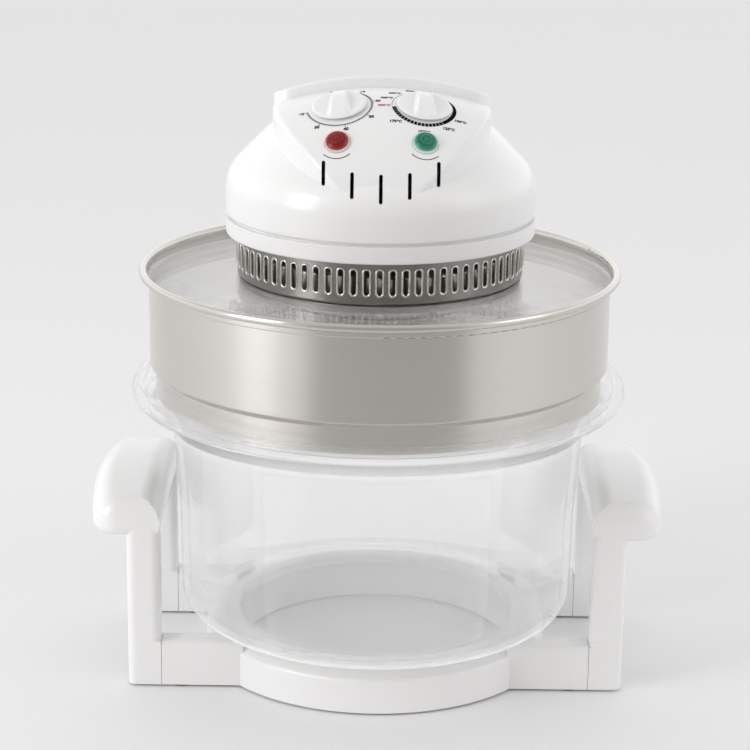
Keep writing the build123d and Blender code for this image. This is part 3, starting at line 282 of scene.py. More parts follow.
# metal: colour between 0.88 times itself and itself by a noise cloud; roughness plus (grain - 0.5) times its
# spread; the grain as bump
def plainMetal(name, colour, rough, spread, scale, depth):
    finish = Finish(name, {"Metallic": 1.0})
    place = finish.place()
    grain = finish.noise(place, scale, 4.0, 0.6)
    cloud = finish.noise(place, 30.0, 2.0)
    finish.feed("Base Color", finish.blend(cloud, shade(*[c * 0.88 for c in colour]), shade(*colour)))
    finish.feed("Roughness", rough + (grain - 0.5) * spread)
    finish.bump(grain, depth)
    return finish.material


# plastic, rubber, ceramic or ink: colour between dim times itself and itself by grain; roughness plus
# (grain - 0.5) times 0.15; the grain as bump
def plainSolid(name, colour, rough, scale, depth, dim=0.85, ior=1.5):
    finish = Finish(name, {"Roughness": rough, "IOR": ior})
    grain = finish.noise(finish.place(), scale, 4.0, 0.6)
    finish.feed("Base Color", finish.blend(grain, shade(*[c * dim for c in colour]), shade(*colour)))
    finish.feed("Roughness", rough + (grain - 0.5) * 0.15)
    finish.bump(grain, depth)
    return finish.material


# sheet edges of a pressed motor core: band is the height folded every 0.5 mm; dark to light by 0.6 band + 0.4
# grain; roughness 0.35 + 0.25 grain; the band as bump
def laminatedCore(name):
    finish = Finish(name, {"Metallic": 0.7})
    place, x, y, z, reach = cylinderParts(finish)
    band = finish.node("ShaderNodeMath", {"operation": "PINGPONG"}, {0: z, 1: 0.0005}) / 0.0005
    grain = finish.noise(place, 200.0, 3.0)
    finish.feed("Base Color", finish.blend(band * 0.6 + grain * 0.4, shade(0.06, 0.06, 0.07),
                                           shade(0.34, 0.34, 0.36)))
    finish.feed("Roughness", 0.35 + grain * 0.25)
    finish.bump(band, 0.0001)
    return finish.material


# wound wire: turns is X folded every 0.3 mm; dark to light by 0.7 turns + 0.3 wander; roughness 0.3 + 0.3 wander;
# the turns as bump
def woundCopper(name):
    finish = Finish(name, {"Metallic": 0.5, "Coat Weight": 0.4})
    place, x, y, z, reach = cylinderParts(finish)
    turns = finish.node("ShaderNodeMath", {"operation": "PINGPONG"}, {0: x, 1: 0.0003}) / 0.0003
    wander = finish.noise(place, 120.0, 2.0)
    finish.feed("Base Color", finish.blend(turns * 0.7 + wander * 0.3, shade(0.22, 0.08, 0.03),
                                           shade(0.72, 0.33, 0.14)))
    finish.feed("Roughness", 0.3 + wander * 0.3)
    finish.bump(turns, 0.00025)
    return finish.material


# lamp lens: rings is the stored reach (0 middle, 1 rim) folded every 0.16; deep to bright by 0.6 rings + 0.4
# cloud, then to the rim's colour by a smooth step of reach from 0.86 to 1; the rings as bump
def lampLens(name, deep, bright, rim):
    finish = Finish(name, {"Roughness": 0.30, "Transmission Weight": 0.05, "Coat Weight": 0.15, "IOR": 1.4})
    reach = finish.node("ShaderNodeAttribute", {"attribute_name": "reach"}, None, "Fac")
    rings = finish.node("ShaderNodeMath", {"operation": "PINGPONG"}, {0: reach, 1: 0.16}) / 0.16
    cloud = finish.noise(finish.place(), 260.0, 2.0)
    body = finish.blend(rings * 0.6 + cloud * 0.4, shade(*deep), shade(*bright))
    finish.feed("Base Color", finish.blend(finish.step(reach, 0.86, 1.0), body, shade(*rim)))
    finish.bump(rings, 0.0002, 0.6)
    return finish.material


# lamp collars: pink left of the middle and pale green right of it by a smooth step of x within 1 mm, then towards
# pale by 0.25 times a noise cloud
def lampCollar(name, pink, green):
    finish = Finish(name, {"Roughness": 0.3, "Coat Weight": 0.3})
    place, x, y, z, reach = cylinderParts(finish)
    cloud = finish.noise(place, 400.0, 2.0)
    tint = finish.blend(finish.step(x, -0.001, 0.001), shade(*pink), shade(*green))
    finish.feed("Base Color", finish.blend(cloud * 0.25, tint, shade(0.9)))
    return finish.material


def makeMaterials():
    made = {
        "white_plastic": glossPlastic("glossWhite", (0.92, 0.92, 0.925), 0.24, plasticValues),
        "rubber": plainSolid("greyRubber", (0.10, 0.10, 0.10), 0.6, 700.0, 0.00004),
        "clear_glass": clearGlass("clearGlass", glassValues),
        "stainless": brushedSteel("turnedSteel", steelValues),
        "chromed_wire": plainMetal("brightWire", (0.72, 0.72, 0.73), 0.12, 0.1, 500.0, 0.000005),
        "zinc": plainMetal("zincPlate", (0.56, 0.57, 0.58), 0.32, 0.25, 420.0, 0.00001),
        "brass": plainMetal("turnedBrass", (0.65, 0.48, 0.2), 0.3, 0.2, 420.0, 0.00001),
        "quartz": clearGlass("quartzGlass", dict(glassValues, tint=(0.97, 0.97, 0.95), clear=0.25)),
        "ceramic": plainSolid("whiteCeramic", (0.80, 0.77, 0.70), 0.55, 500.0, 0.00005, 0.9),
        "laminations": laminatedCore("pressedSheets"),
        "copper_winding": woundCopper("tapedWinding"),
        "aluminium": plainMetal("stampedAluminium", (0.74, 0.75, 0.76), 0.35, 0.2, 600.0, 0.00002),
        "black_plastic": plainSolid("blackPlastic", (0.03, 0.03, 0.03), 0.4, 800.0, 0.00002),
        "cream_plastic": plainSolid("creamPlastic", (0.72, 0.68, 0.52), 0.4, 600.0, 0.00002, 0.93),
        "red_lens": lampLens("redLens", (0.07, 0.0005, 0.001), (0.36, 0.006, 0.008), (0.42, 0.06, 0.055)),
        "green_lens": lampLens("greenLens", (0.003, 0.07, 0.04), (0.025, 0.30, 0.19), (0.12, 0.40, 0.29)),
    }
    print("materials made:", len(made))
    return made


# ---- meshes from grids ----

# joins a grid of points, shape (rows, columns, 3), into faces; either way may close on itself
def gridMesh(name, points, closeRows=False, closeColumns=False, weld=False, flip=False, sharp=40):
    rows, columns = points.shape[:2]
    down = np.arange(rows if closeRows else rows - 1)
    along = np.arange(columns if closeColumns else columns - 1)
    first, second = np.meshgrid(down, along, indexing="ij")
    nextRow, nextColumn = (first + 1) % rows, (second + 1) % columns
    faces = np.stack([first * columns + second, first * columns + nextColumn,
                      nextRow * columns + nextColumn, nextRow * columns + second], -1).reshape(-1, 4)
    if flip:
        faces = faces[:, ::-1]
    mesh = bpy.data.meshes.new(name)
    mesh.from_pydata(points.reshape(-1, 3).tolist(), [], faces.tolist())
    if weld:
        work = bmesh.new()
        work.from_mesh(mesh)
        bmesh.ops.remove_doubles(work, verts=work.verts, dist=1e-6)
        bmesh.ops.recalc_face_normals(work, faces=work.faces)
        work.to_mesh(mesh)
        work.free()
    mesh.shade_smooth()
    mesh.set_sharp_from_angle(angle=radians(sharp))
    return mesh


def piece(name, mesh, body, slot, material=None):
    made = bpy.data.objects.new(name, mesh)
    bpy.context.scene.collection.objects.link(made)
    mesh.materials.clear()
    mesh.materials.append(material or materials[slot])
    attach(made, body)
    return made


# points on an arc: centre + radius times (cos, sin) of the angle
def arc(centre, radius, start, end, count):
    angle = np.radians(np.linspace(start, end, count))
    return np.stack([centre[0] + radius * np.cos(angle), centre[1] + radius * np.sin(angle)], -1)


# cubic between two points with the given slopes at its ends
def cubic(start, end, slopeStart, slopeEnd, count):
    t = np.linspace(0, 1, count)[:, None]
    start, end, slopeStart, slopeEnd = (np.array(v, float) for v in (start, end, slopeStart, slopeEnd))
    return ((2 * t**3 - 3 * t**2 + 1) * start + (t**3 - 2 * t**2 + t) * slopeStart
            + (3 * t**2 - 2 * t**3) * end + (t**3 - t**2) * slopeEnd)


# points on a line: start times (1 - t) plus end times t
def straight(start, end, count):
    t = np.linspace(0, 1, count)[:, None]
    return np.array(start) * (1 - t) + np.array(end) * t


# a closed profile (radius, height) carried round the Z axis
def turned(profile, steps):
    angle = np.linspace(0, 2 * pi, steps, endpoint=False)
    radius, height = profile[:, :1], profile[:, 1:]
    return np.stack([radius * np.cos(angle), radius * np.sin(angle), height + 0 * angle], -1)


# ---- glass ----

bowlForm = {
    "steps": 240,
    "base": 0.033, "rim": 0.1985, "ledge": 0.190, "glass": 0.005,
    "corner": 0.020, "cornerRadius": 0.134, "midRadius": 0.135, "midHeight": 0.108,
    "shoulderRadius": 0.139, "shoulderHeight": 0.163, "rimRadius": 0.1666,
    "ledgeInner": 0.1465, "ledgeOuter": 0.1585,
    "flangeInset": 0.007, "bead": 0.0063, "beadInset": 0.0066, "beadDrop": 0.0062, "beadReach": 80,
    "chamfer": 0.001, "underRim": 0.002,
    "flangeSlope": (0.022, 0.0033), "ledgeSlope": (-0.008, -0.014), "lean": 0.45,
}


# the bowl's closed section: up the outside (floor, corner, wall, a cubic out to the flange, the rim's bead), across
# the ledge and down the inside, one glass thickness in
def bowlProfile():
    b = bowlForm
    centre = (b["cornerRadius"] - b["corner"], b["base"] + b["corner"])
    flange = (b["rimRadius"] - b["flangeInset"], b["ledge"] - b["glass"] + b["chamfer"])
    shoulder = (b["shoulderRadius"], b["shoulderHeight"])
    inner = (b["shoulderRadius"] - b["glass"], b["shoulderHeight"])
    lean = np.array([b["shoulderRadius"] - b["midRadius"], b["shoulderHeight"] - b["midHeight"]])
    parts = [
        straight((0, b["base"]), (centre[0], b["base"]), 8),
        arc(centre, b["corner"], -90, 0, 14)[1:],
        straight((b["cornerRadius"], centre[1]), (b["midRadius"], b["midHeight"]), 4)[1:],
        straight((b["midRadius"], b["midHeight"]), shoulder, 4)[1:],
        cubic(shoulder, flange, lean * b["lean"], b["flangeSlope"], 18)[1:],
        arc((b["rimRadius"] - b["beadInset"], b["rim"] - b["beadDrop"]), b["bead"], -b["beadReach"],
            b["beadReach"], 12)[1:],
        straight((b["ledgeOuter"] + b["chamfer"], b["rim"]), (b["ledgeOuter"], b["rim"] - b["chamfer"]), 2),
        straight((b["ledgeOuter"], b["rim"] - b["underRim"]), (b["ledgeOuter"], b["ledge"] + b["chamfer"]), 3),
        straight((b["ledgeOuter"] - b["chamfer"], b["ledge"]), (b["ledgeInner"], b["ledge"]), 4),
        cubic((b["ledgeInner"], b["ledge"]), inner, b["ledgeSlope"], -lean * b["lean"], 14)[1:],
        straight(inner, (b["midRadius"] - b["glass"], b["midHeight"]), 4)[1:],
        straight((b["midRadius"] - b["glass"], b["midHeight"]),
                 (b["cornerRadius"] - b["glass"], centre[1]), 4)[1:],
        arc(centre, b["corner"] - b["glass"], 0, -90, 12)[1:],
        straight((centre[0], b["base"] + b["glass"]), (0, b["base"] + b["glass"]), 8)[1:],
    ]
    return np.concatenate(parts)


lidForm = {"steps": 240, "outer": 0.1549, "inner": 0.086, "low": 0.2672, "top": 0.2712, "round": 0.0012}


# the lid's closed section: four corner arcs, the hole's half as round as the rim's
def lidProfile():
    f = lidForm
    r = f["round"]
    corners = [((f["outer"] - r, f["low"] + r), -90, 0), ((f["outer"] - r, f["top"] - r), 0, 90),
               ((f["inner"] + r / 2, f["top"] - r / 2), 90, 180),
               ((f["inner"] + r / 2, f["low"] + r / 2), 180, 270)]
    radii = [r, r, r / 2, r / 2]
    return np.concatenate([arc(c, radius, a, b, 6) for (c, a, b), radius in zip(corners, radii)])


def makeGlass():
    bowl = piece("glassBowl", gridMesh("glassBowl", turned(bowlProfile(), bowlForm["steps"]), closeColumns=True,
                                       weld=True), "bowl", "clear_glass")
    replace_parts(bowl, "glass_bowl")
    lid = piece("glassLid", gridMesh("glassLid", turned(lidProfile(), lidForm["steps"]), True, True, weld=True),
                "head", "clear_glass", clearGlass("lidGlass", lidGlassValues))
    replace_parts(lid, "glass_lid")
    print("glass made")


# ---- the console's skin, where the prints, knobs and lamps sit ----

# lip is how far the band's lip reaches up into the dome
skinForm = {"lip": 0.003, "root": 0.0089, "axisDrop": 0.1316}
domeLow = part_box("lower_housing")[1][2] - skinForm["lip"]
skin = {"back": -0.012, "length": 0.088, "rise": 0.076, "centre": domeLow + skinForm["root"],
        "axis": domeLow - skinForm["axisDrop"]}


# height of the skin: a circle across, round the crown's axis, whose radius follows a quarter ellipse along Y
def skinHeight(x, y):
    reach = (y - skin["back"]) / skin["length"]
    radius = skin["centre"] + skin["rise"] * np.sqrt(1 - reach**2) - skin["axis"]
    return skin["axis"] + np.sqrt(radius**2 - x**2)


# outward unit normal by small differences of the height
def skinNormal(x, y):
    d = 1e-5
    slopeX = (skinHeight(x + d, y) - skinHeight(x - d, y)) / (2 * d)
    slopeY = (skinHeight(x, y + d) - skinHeight(x, y - d)) / (2 * d)
    normal = np.stack([-slopeX, -slopeY, np.ones_like(slopeX)], -1)
    return normal / np.linalg.norm(normal, axis=-1, keepdims=True)


# local frame at a point of the skin: origin, across, up the panel, outward
def skinFrame(x, y):
    normal = skinNormal(np.float64(x), np.float64(y))
    across = np.array([1.0, 0, 0]) - normal * normal[0]
    across /= np.linalg.norm(across)
    return np.array([x, y, float(skinHeight(x, y))]), across, np.cross(normal, across), normal


# lays flat points (u across, v up) round a place of the panel onto the skin, lifted along its normal
def onSkin(spot, u, v, lift):
    origin, across, up, normal = skinFrame(*spot)
    flat = origin + u[..., None] * across + v[..., None] * up
    x, y = flat[..., 0], flat[..., 1]
    for _ in range(3):     # follow the normal back to the skin
        off = (flat[..., 2] - skinHeight(x, y)) * skinNormal(x, y)[..., 2]
        x, y = flat[..., 0] - off * normal[0], flat[..., 1] - off * normal[1]
    point = np.stack([x, y, skinHeight(x, y)], -1)
    return point + skinNormal(x, y) * lift


dialPrint = {"lift": 0.00006, "thick": 0.00010, "bold": 0.035}      # bold: widening of the figures over their size
knobSpots = {"timer": (-0.027, -0.045), "temperature": (0.027, -0.045)}
lampSpots = {"red": (-0.0277, -0.075), "green": (0.0277, -0.075)}


# a ring sector of ink: radius from inner to outer (either may change along it), angle from start to end,
# as a thin closed shell on the skin
def inkSector(spot, inner, outer, start, end, count):
    angle = np.radians(np.linspace(start, end, count))
    radius = np.stack([inner + 0 * angle, outer + 0 * angle])
    u, v = radius * np.cos(angle), radius * np.sin(angle)
    low = onSkin(spot, u, v, dialPrint["lift"])
    high = onSkin(spot, u, v, dialPrint["lift"] + dialPrint["thick"])
    return np.stack([low[0], low[1], high[1], high[0]])       # a square tube along the arc


# faces round a tube of points in rows and columns, numbered from base; an open tube gets a face at each end
def tubeFaces(rows, columns, base, closed):
    faces = []
    for c in range(columns if closed else columns - 1):
        d = (c + 1) % columns
        for r in range(rows):
            s = (r + 1) % rows
            faces.append((base + r * columns + c, base + s * columns + c,
                          base + s * columns + d, base + r * columns + d))
    if not closed:
        faces.append(tuple(base + r * columns for r in range(rows))[::-1])
        faces.append(tuple(base + r * columns + columns - 1 for r in range(rows)))
    return faces


def joinTubes(name, tubes):
    points, faces, base = [], [], 0
    for tube in tubes:
        faces += tubeFaces(tube.shape[0], tube.shape[1], base, False)
        points.append(tube.reshape(-1, 3))
        base += tube.shape[0] * tube.shape[1]
    mesh = bpy.data.meshes.new(name)
    mesh.from_pydata(np.concatenate(points).tolist(), [], faces)
    work = bmesh.new()
    work.from_mesh(mesh)
    bmesh.ops.recalc_face_normals(work, faces=work.faces)
    work.to_mesh(mesh)
    work.free()
    return mesh


# numbers as flat text, turned into a mesh and laid on the skin
def inkText(spot, words, radius, angle, size):
    curve = bpy.data.curves.new("number", "FONT")
    curve.body, curve.size, curve.align_x, curve.align_y = words, size, "CENTER", "CENTER"
    curve.offset = size * dialPrint["bold"]
    holder = bpy.data.objects.new("number", curve)
    bpy.context.scene.collection.objects.link(holder)
    flat = bpy.data.meshes.new_from_object(holder)
    bpy.data.objects.remove(holder)
    work = bmesh.new()
    work.from_mesh(flat)
    bmesh.ops.remove_doubles(work, verts=work.verts, dist=1e-7)
    bmesh.ops.recalc_face_normals(work, faces=work.faces)
    solid = bmesh.ops.extrude_face_region(work, geom=work.faces[:])
    work.verts.index_update()
    raised = np.zeros(len(work.verts), bool)
    for v in solid["geom"]:
        if isinstance(v, bmesh.types.BMVert):
            raised[v.index] = True
    co = np.array([v.co[:2] for v in work.verts])
    mid = np.array([np.cos(np.radians(angle)), np.sin(np.radians(angle))]) * radius
    u, v = mid[0] + co[:, 0], mid[1] + co[:, 1]
    lift = dialPrint["lift"] + np.where(raised, dialPrint["thick"], 0.0)
    places = np.array(onSkin(spot, u, v, lift[:, None]))
    for vert, place in zip(work.verts, places):
        vert.co = place
    bmesh.ops.recalc_face_normals(work, faces=work.faces)
    work.to_mesh(flat)
    work.free()
    return flat


def joinMeshes(name, meshes):
    work = bmesh.new()
    for mesh in meshes:
        work.from_mesh(mesh)
    made = bpy.data.meshes.new(name)
    work.to_mesh(made)
    work.free()
    return made


# angles run anticlockwise from the panel's right-hand side, in degrees
timerScale = {"ring": 0.0208, "line": 0.0004, "ringFrom": 132.0, "off": 100.0, "tenMinutes": -45.0, "tens": 6,
              "marks": 10, "short": 0.0009, "long": 0.0018, "markHalf": 0.55, "numberRadius": 0.0248,
              "numberSize": 0.0033}
heatScale = {"outer": 0.0208, "thick": 0.0026, "bandFrom": 188.0, "bandTo": 352.0, "block": 7.0, "notch": 1.3,
             "solidFrom": 302.0, "tailTo": 435.0, "tailThin": 0.0003, "dotFrom": 84.0, "dotTo": 92.0,
             "dotThick": 0.0011,
             "tailPower": 1.3, "dashFrom": 104.0, "dashes": 9, "dashStep": 9.0, "dash": 5.5, "line": 0.0003,
             "numberRadius": 0.0256, "numberSize": 0.0030}
heatNumbers = {"OFF": 110.0, "250°C": 137.0, "225°C": 159.0, "175°C": 225.0, "150°C": 270.0, "125°C": 308.0,
               "100°C": 335.0}
hottest = {"words": "200°C", "angle": 183.0}
lampArc = {"radius": 0.0120, "thick": 0.00042, "from": 226.0, "to": 312.0}


def makePrints():
    ink = plainSolid("blackInk", (0.006, 0.006, 0.006), 0.85, 900.0, 0.000005, ior=1.15)
    spot, s = knobSpots["timer"], timerScale
    sweep = s["tenMinutes"] * s["tens"]
    tubes = [inkSector(spot, s["ring"] - s["line"], s["ring"], s["ringFrom"], s["off"] + sweep, 90)]
    texts = []
    for i in range(s["tens"] * s["marks"] + 1):
        angle = s["off"] + s["tenMinutes"] * i / s["marks"]
        ten = i % s["marks"] == 0
        tubes.append(inkSector(spot, s["ring"], s["ring"] + s["long" if ten else "short"], angle - s["markHalf"],
                               angle + s["markHalf"], 2))
        if ten:
            words = str(10 * i // s["marks"]) if i else "OFF"
            texts.append(inkText(spot, words, s["numberRadius"], angle, s["numberSize"]))
    piece("timerScale", joinMeshes("timerScale", [joinTubes("ink", tubes)] + texts), "head", "black_plastic",
          ink)

    spot, s = knobSpots["temperature"], heatScale
    tubes = []
    angle = s["bandFrom"]
    while angle < s["solidFrom"]:       # short blocks with a fine gap after each
        tubes.append(inkSector(spot, s["outer"] - s["thick"], s["outer"], angle,
                               angle + s["block"] - s["notch"], 4))
        angle += s["block"]
    tubes.append(inkSector(spot, s["outer"] - s["thick"], s["outer"], angle, s["bandTo"], 24))
    tail = np.linspace(1, 0, 40)
    inner = s["outer"] - s["tailThin"] - (s["thick"] - s["tailThin"]) * tail**s["tailPower"]
    tubes.append(inkSector(spot, inner, s["outer"], s["bandTo"], s["tailTo"], 40))
    tubes.append(inkSector(spot, s["outer"] - s["dotThick"], s["outer"] + s["line"], s["dotFrom"], s["dotTo"], 4))
    for i in range(s["dashes"]):
        angle = s["dashFrom"] + i * s["dashStep"]
        tubes.append(inkSector(spot, s["outer"] - s["line"], s["outer"], angle, angle + s["dash"], 4))
    texts = [inkText(spot, words, s["numberRadius"], angle, s["numberSize"])
             for words, angle in heatNumbers.items()]
    piece("temperatureScale", joinMeshes("temperatureScale", [joinTubes("ink", tubes)] + texts), "head",
          "black_plastic", ink)
    red = inkText(spot, hottest["words"], s["numberRadius"], hottest["angle"], s["numberSize"])
    piece("hottestNumber", red, "head", "red_lens",
          plainSolid("redInk", (0.55, 0.06, 0.07), 0.4, 900.0, 0.000005))

    arcs = [inkSector(spot, lampArc["radius"], lampArc["radius"] + lampArc["thick"], lampArc["from"],
                      lampArc["to"], 24) for spot in lampSpots.values()]
    piece("lampArcs", joinTubes("lampArcs", arcs), "head", "black_plastic", ink)
    print("prints made")


# ---- knobs: a thin round skirt that flares up into an arched grip bar, as a height over a disc ----

knobForm = {"radius": 0.0176, "gap": 0.0004, "skirt": 0.0015, "edge": 0.0009, "edgeFrom": 0.86,
            "dome": -0.0006, "barHeight": 0.0052, "barReach": 0.0166, "halfBack": 0.0034, "halfFront": 0.0042,
            "flankBack": 0.0020, "flankFront": 0.0046, "flankPower": 1.3, "rings": 64,
            "rimRings": 10, "steps": 216, "rimFrom": 0.93, "rimWidth": 0.07, "rimStart": 0.15,
            "footHeight": 0.0006, "footShare": 0.985, "underShare": 0.3}


# height over (u, v): a skirt that rounds off at the rim, plus a bar whose top is a parabola along v and whose
# flanks fall by a smooth step across u and flare out more towards the front
def knobHeight(u, v):
    k = knobForm
    reach = np.sqrt(u**2 + v**2) / k["radius"]
    worn = np.clip((reach - k["edgeFrom"]) / (1 - k["edgeFrom"]), 0, 1)
    skirt = k["skirt"] - k["edge"] * worn**3 + k["dome"] * (1 - reach**2)
    front = np.clip((1 - v / k["barReach"]) / 2, 0, 1)
    half = k["halfBack"] + (k["halfFront"] - k["halfBack"]) * front
    flank = k["flankBack"] + (k["flankFront"] - k["flankBack"]) * front
    side = np.clip((half + flank - np.abs(u)) / flank, 0, 1)
    arch = np.clip(1 - (v / k["barReach"])**2, 0, 1)
    return skirt + k["barHeight"] * arch * (side**2 * (3 - 2 * side))**k["flankPower"]


def makeKnob(name, spot, body, node):
    k = knobForm
    origin, across, up, normal = skinFrame(*spot)
    rim = k["rimFrom"] + k["rimWidth"] * np.sin(np.linspace(k["rimStart"], pi / 2, k["rimRings"]))
    ring = np.concatenate([np.linspace(0, k["rimFrom"], k["rings"]), rim])
    angle = np.linspace(0, 2 * pi, k["steps"], endpoint=False)
    u = k["radius"] * ring[:, None] * np.cos(angle)
    v = k["radius"] * ring[:, None] * np.sin(angle)
    top = knobHeight(u, v)
    low = np.zeros_like(top)
    rows = [(u, v, top), (u[-1:], v[-1:], low[-1:] + k["footHeight"]),
            (u[-1:] * k["footShare"], v[-1:] * k["footShare"], low[-1:]),
            (u[-1:] * k["underShare"], v[-1:] * k["underShare"], low[-1:]), (u[:1], v[:1], low[:1])]
    grids = [origin + a[..., None] * across + b[..., None] * up + (h[..., None] + k["gap"]) * normal
             for a, b, h in rows]
    mesh = gridMesh(name, np.concatenate(grids), closeColumns=True, weld=True, sharp=50)
    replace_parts(piece(name, mesh, body, "white_plastic"), node)


# ---- lamp lenses: a dome with a flat rim, radius stored for the moulded rings ----

lensForm = {"radius": 0.0072, "low": 0.0008, "height": 0.0034, "rim": 0.0006, "power": 1.2, "underShare": 0.5,
            "steps": 72, "rings": 24}


def makeLens(name, spot, node, slot):
    f = lensForm
    origin, across, up, normal = skinFrame(*spot)
    share = np.linspace(0, 1, f["rings"])
    angle = np.linspace(0, 2 * pi, f["steps"], endpoint=False)
    radius = f["radius"] * np.sin(share * pi / 2)
    height = f["low"] + f["rim"] + (f["height"] - f["rim"]) * np.cos(share * pi / 2) ** f["power"]
    radius = np.concatenate([radius, [f["radius"], f["radius"] * f["underShare"], 0]])
    height = np.concatenate([height, [f["low"], f["low"], f["low"]]])
    u, v = radius[:, None] * np.cos(angle), radius[:, None] * np.sin(angle)
    points = (origin + u[..., None] * across + v[..., None] * up
              + (height[:, None, None] + 0 * u[..., None]) * normal)
    mesh = gridMesh(name, points, closeColumns=True, weld=True, sharp=50)
    places = np.array([vert.co[:] for vert in mesh.vertices]) - origin
    reach = np.sqrt((places @ across) ** 2 + (places @ up) ** 2) / f["radius"]
    store = mesh.attributes.new("reach", "FLOAT", "POINT")
    store.data.foreach_set("value", reach.astype(np.float32))
    made = piece(name, mesh, "head", slot)
    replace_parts(made, node)


# ---- rolled rims round the skirt's slots ----

slotRim = {"count": 72, "radius": 0.0952, "wide": 0.0041, "long": 0.017, "middle": 0.2857, "lip": 0.00075,
           "lipOut": 0.35, "lipStand": 0.75, "outline": 22, "section": 5}


# outline of a slot (two half circles joined), with a small half-round lip carried along it on the skirt
def makeSlotRims():
    s = slotRim
    half = s["outline"] // 2
    end = (s["long"] - s["wide"]) / 2
    top, low = np.linspace(0, pi, half), np.linspace(pi, 2 * pi, half)
    circle = np.concatenate([top, low])
    rise = np.concatenate([np.full(half, end), np.full(half, -end)])
    turn = np.linspace(0, 2 * pi, s["section"], endpoint=False)
    out = s["wide"] / 2 + s["lip"] * s["lipOut"] + s["lip"] * np.cos(turn)[:, None]
    across = out * np.cos(circle)
    height = s["middle"] + rise + out * np.sin(circle)
    reach = s["radius"] + s["lip"] * s["lipStand"] * np.sin(turn)[:, None] + 0 * across
    around = 2 * pi * np.arange(s["count"]) / s["count"]
    angle = around[:, None, None] + across / s["radius"]
    points = np.stack([reach * np.cos(angle), reach * np.sin(angle), height + 0 * angle], -1)
    rows, columns = len(turn), len(circle)
    one = np.array(tubeFaces(rows, columns, 0, True))
    faces = (one[None] + (np.arange(s["count"]) * rows * columns)[:, None, None]).reshape(-1, 4)
    mesh = bpy.data.meshes.new("slotRims")
    mesh.from_pydata(points.reshape(-1, 3).tolist(), [], faces.tolist())
    work = bmesh.new()
    work.from_mesh(mesh)
    bmesh.ops.recalc_face_normals(work, faces=work.faces)
    work.to_mesh(mesh)
    work.free()
    mesh.shade_smooth()
    # the rims get a lighter copy of the skirt's steel: painted highlight
    piece("slotRims", mesh, "head", "stainless", brushedSteel("rimSteelPaintedHighlight", rimPaintedHighlightValues))


# ---- tubes along a line: the halogen lamp, its coil and the wire guard ----

# a round tube along a line: circles spanned by a side vector, made square to the line, and its cross product
# with the line's direction; a point closes each end
def roundTube(name, line, side, radius, sides):
    ahead = np.gradient(line, axis=0)
    ahead /= np.linalg.norm(ahead, axis=1, keepdims=True)
    side = side - (side * ahead).sum(1, keepdims=True) * ahead
    side /= np.linalg.norm(side, axis=1, keepdims=True)
    other = np.cross(ahead, side)
    turn = np.linspace(0, 2 * pi, sides, endpoint=False)[:, None]
    rings = line[:, None] + radius * (np.cos(turn) * side[:, None] + np.sin(turn) * other[:, None])
    ends = [np.repeat(line[i][None, None], sides, 1) for i in (0, -1)]
    return gridMesh(name, np.concatenate([ends[0], rings, ends[1]]), closeColumns=True, weld=True)


# a closed wire ring: a circle of the wire's radius carried round the Z axis
def wireRing(name, radius, height, wire, steps, sides):
    turn = np.linspace(0, 2 * pi, sides, endpoint=False)
    profile = np.stack([radius + wire * np.cos(turn), height + wire * np.sin(turn)], -1)
    return gridMesh(name, turned(profile, steps), closeRows=True, closeColumns=True, weld=True)


lampForm = {"circle": 0.062, "glass": 0.005, "gapAngle": 34.0, "bend": 0.007, "riser": 0.003, "steps": 160,
            "bendSteps": 10, "sides": 28, "coil": 0.0012, "wire": 0.00022, "turns": 150, "coilSteps": 12,
            "coilSides": 5, "coilStart": 92, "coilTurn": 356}


# centre line of the lamp: most of a circle, a quarter turn up and a riser at each end; with level side vectors
def lampLine(height):
    f = lampForm
    angle = np.radians(np.linspace(90 + f["gapAngle"] / 2, 450 - f["gapAngle"] / 2, f["steps"]))
    radial = np.stack([np.cos(angle), np.sin(angle), 0 * angle], -1)
    circle = f["circle"] * radial + [0, 0, height]
    tips = []
    for index, way in ((0, -1.0), (-1, 1.0)):
        ahead = np.array([-np.sin(angle[index]), np.cos(angle[index]), 0]) * way
        bend = np.linspace(0, pi / 2, f["bendSteps"])[1:, None]
        curve = circle[index] + f["bend"] * (np.sin(bend) * ahead + (1 - np.cos(bend)) * np.array([0, 0, 1.0]))
        tips.append(np.concatenate([curve, curve[-1:] + [0, 0, f["riser"]]]))
    line = np.concatenate([tips[0][::-1], circle, tips[1]])
    side = np.concatenate([np.repeat(radial[:1], len(tips[0]), 0), radial, np.repeat(radial[-1:], len(tips[1]), 0)])
    return line, side


# the heating coil: a helix round the lamp's circle
def coilLine(height):
    f = lampForm
    share = np.linspace(0, 1, f["turns"] * f["coilSteps"])
    angle = np.radians(f["coilStart"] + f["gapAngle"] / 2 + (f["coilTurn"] - f["gapAngle"]) * share)
    phase = 2 * pi * f["turns"] * share
    radial = np.stack([np.cos(angle), np.sin(angle), 0 * angle], -1)
    offset = np.cos(phase)[:, None] * radial + np.sin(phase)[:, None] * np.array([0, 0, 1.0])
    return f["circle"] * radial + [0, 0, height] + f["coil"] * offset, offset


def makeLamp():
    f = lampForm
    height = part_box("halogen_tube")[0][2] + f["glass"]
    tube = piece("quartzTube", roundTube("quartzTube", *lampLine(height), f["glass"], f["sides"]), "head", "quartz")
    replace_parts(tube, "halogen_tube")
    piece("heatingCoil", roundTube("heatingCoil", *coilLine(height), f["wire"], f["coilSides"]), "head",
          "chromed_wire", plainMetal("tungstenWire", (0.30, 0.29, 0.28), 0.35, 0.2, 900.0, 0.000002))
    print("lamp made")


guardForm = {"wire": 0.0011, "rings": (0.016, 0.034, 0.052, 0.070), "outer": 0.088, "spokes": 8, "steps": 120,
             "sides": 10, "level": 0.060, "levelSlope": (0.030, 0), "hookSlope": (0.016, 0.010), "spokeShare": 0.9}


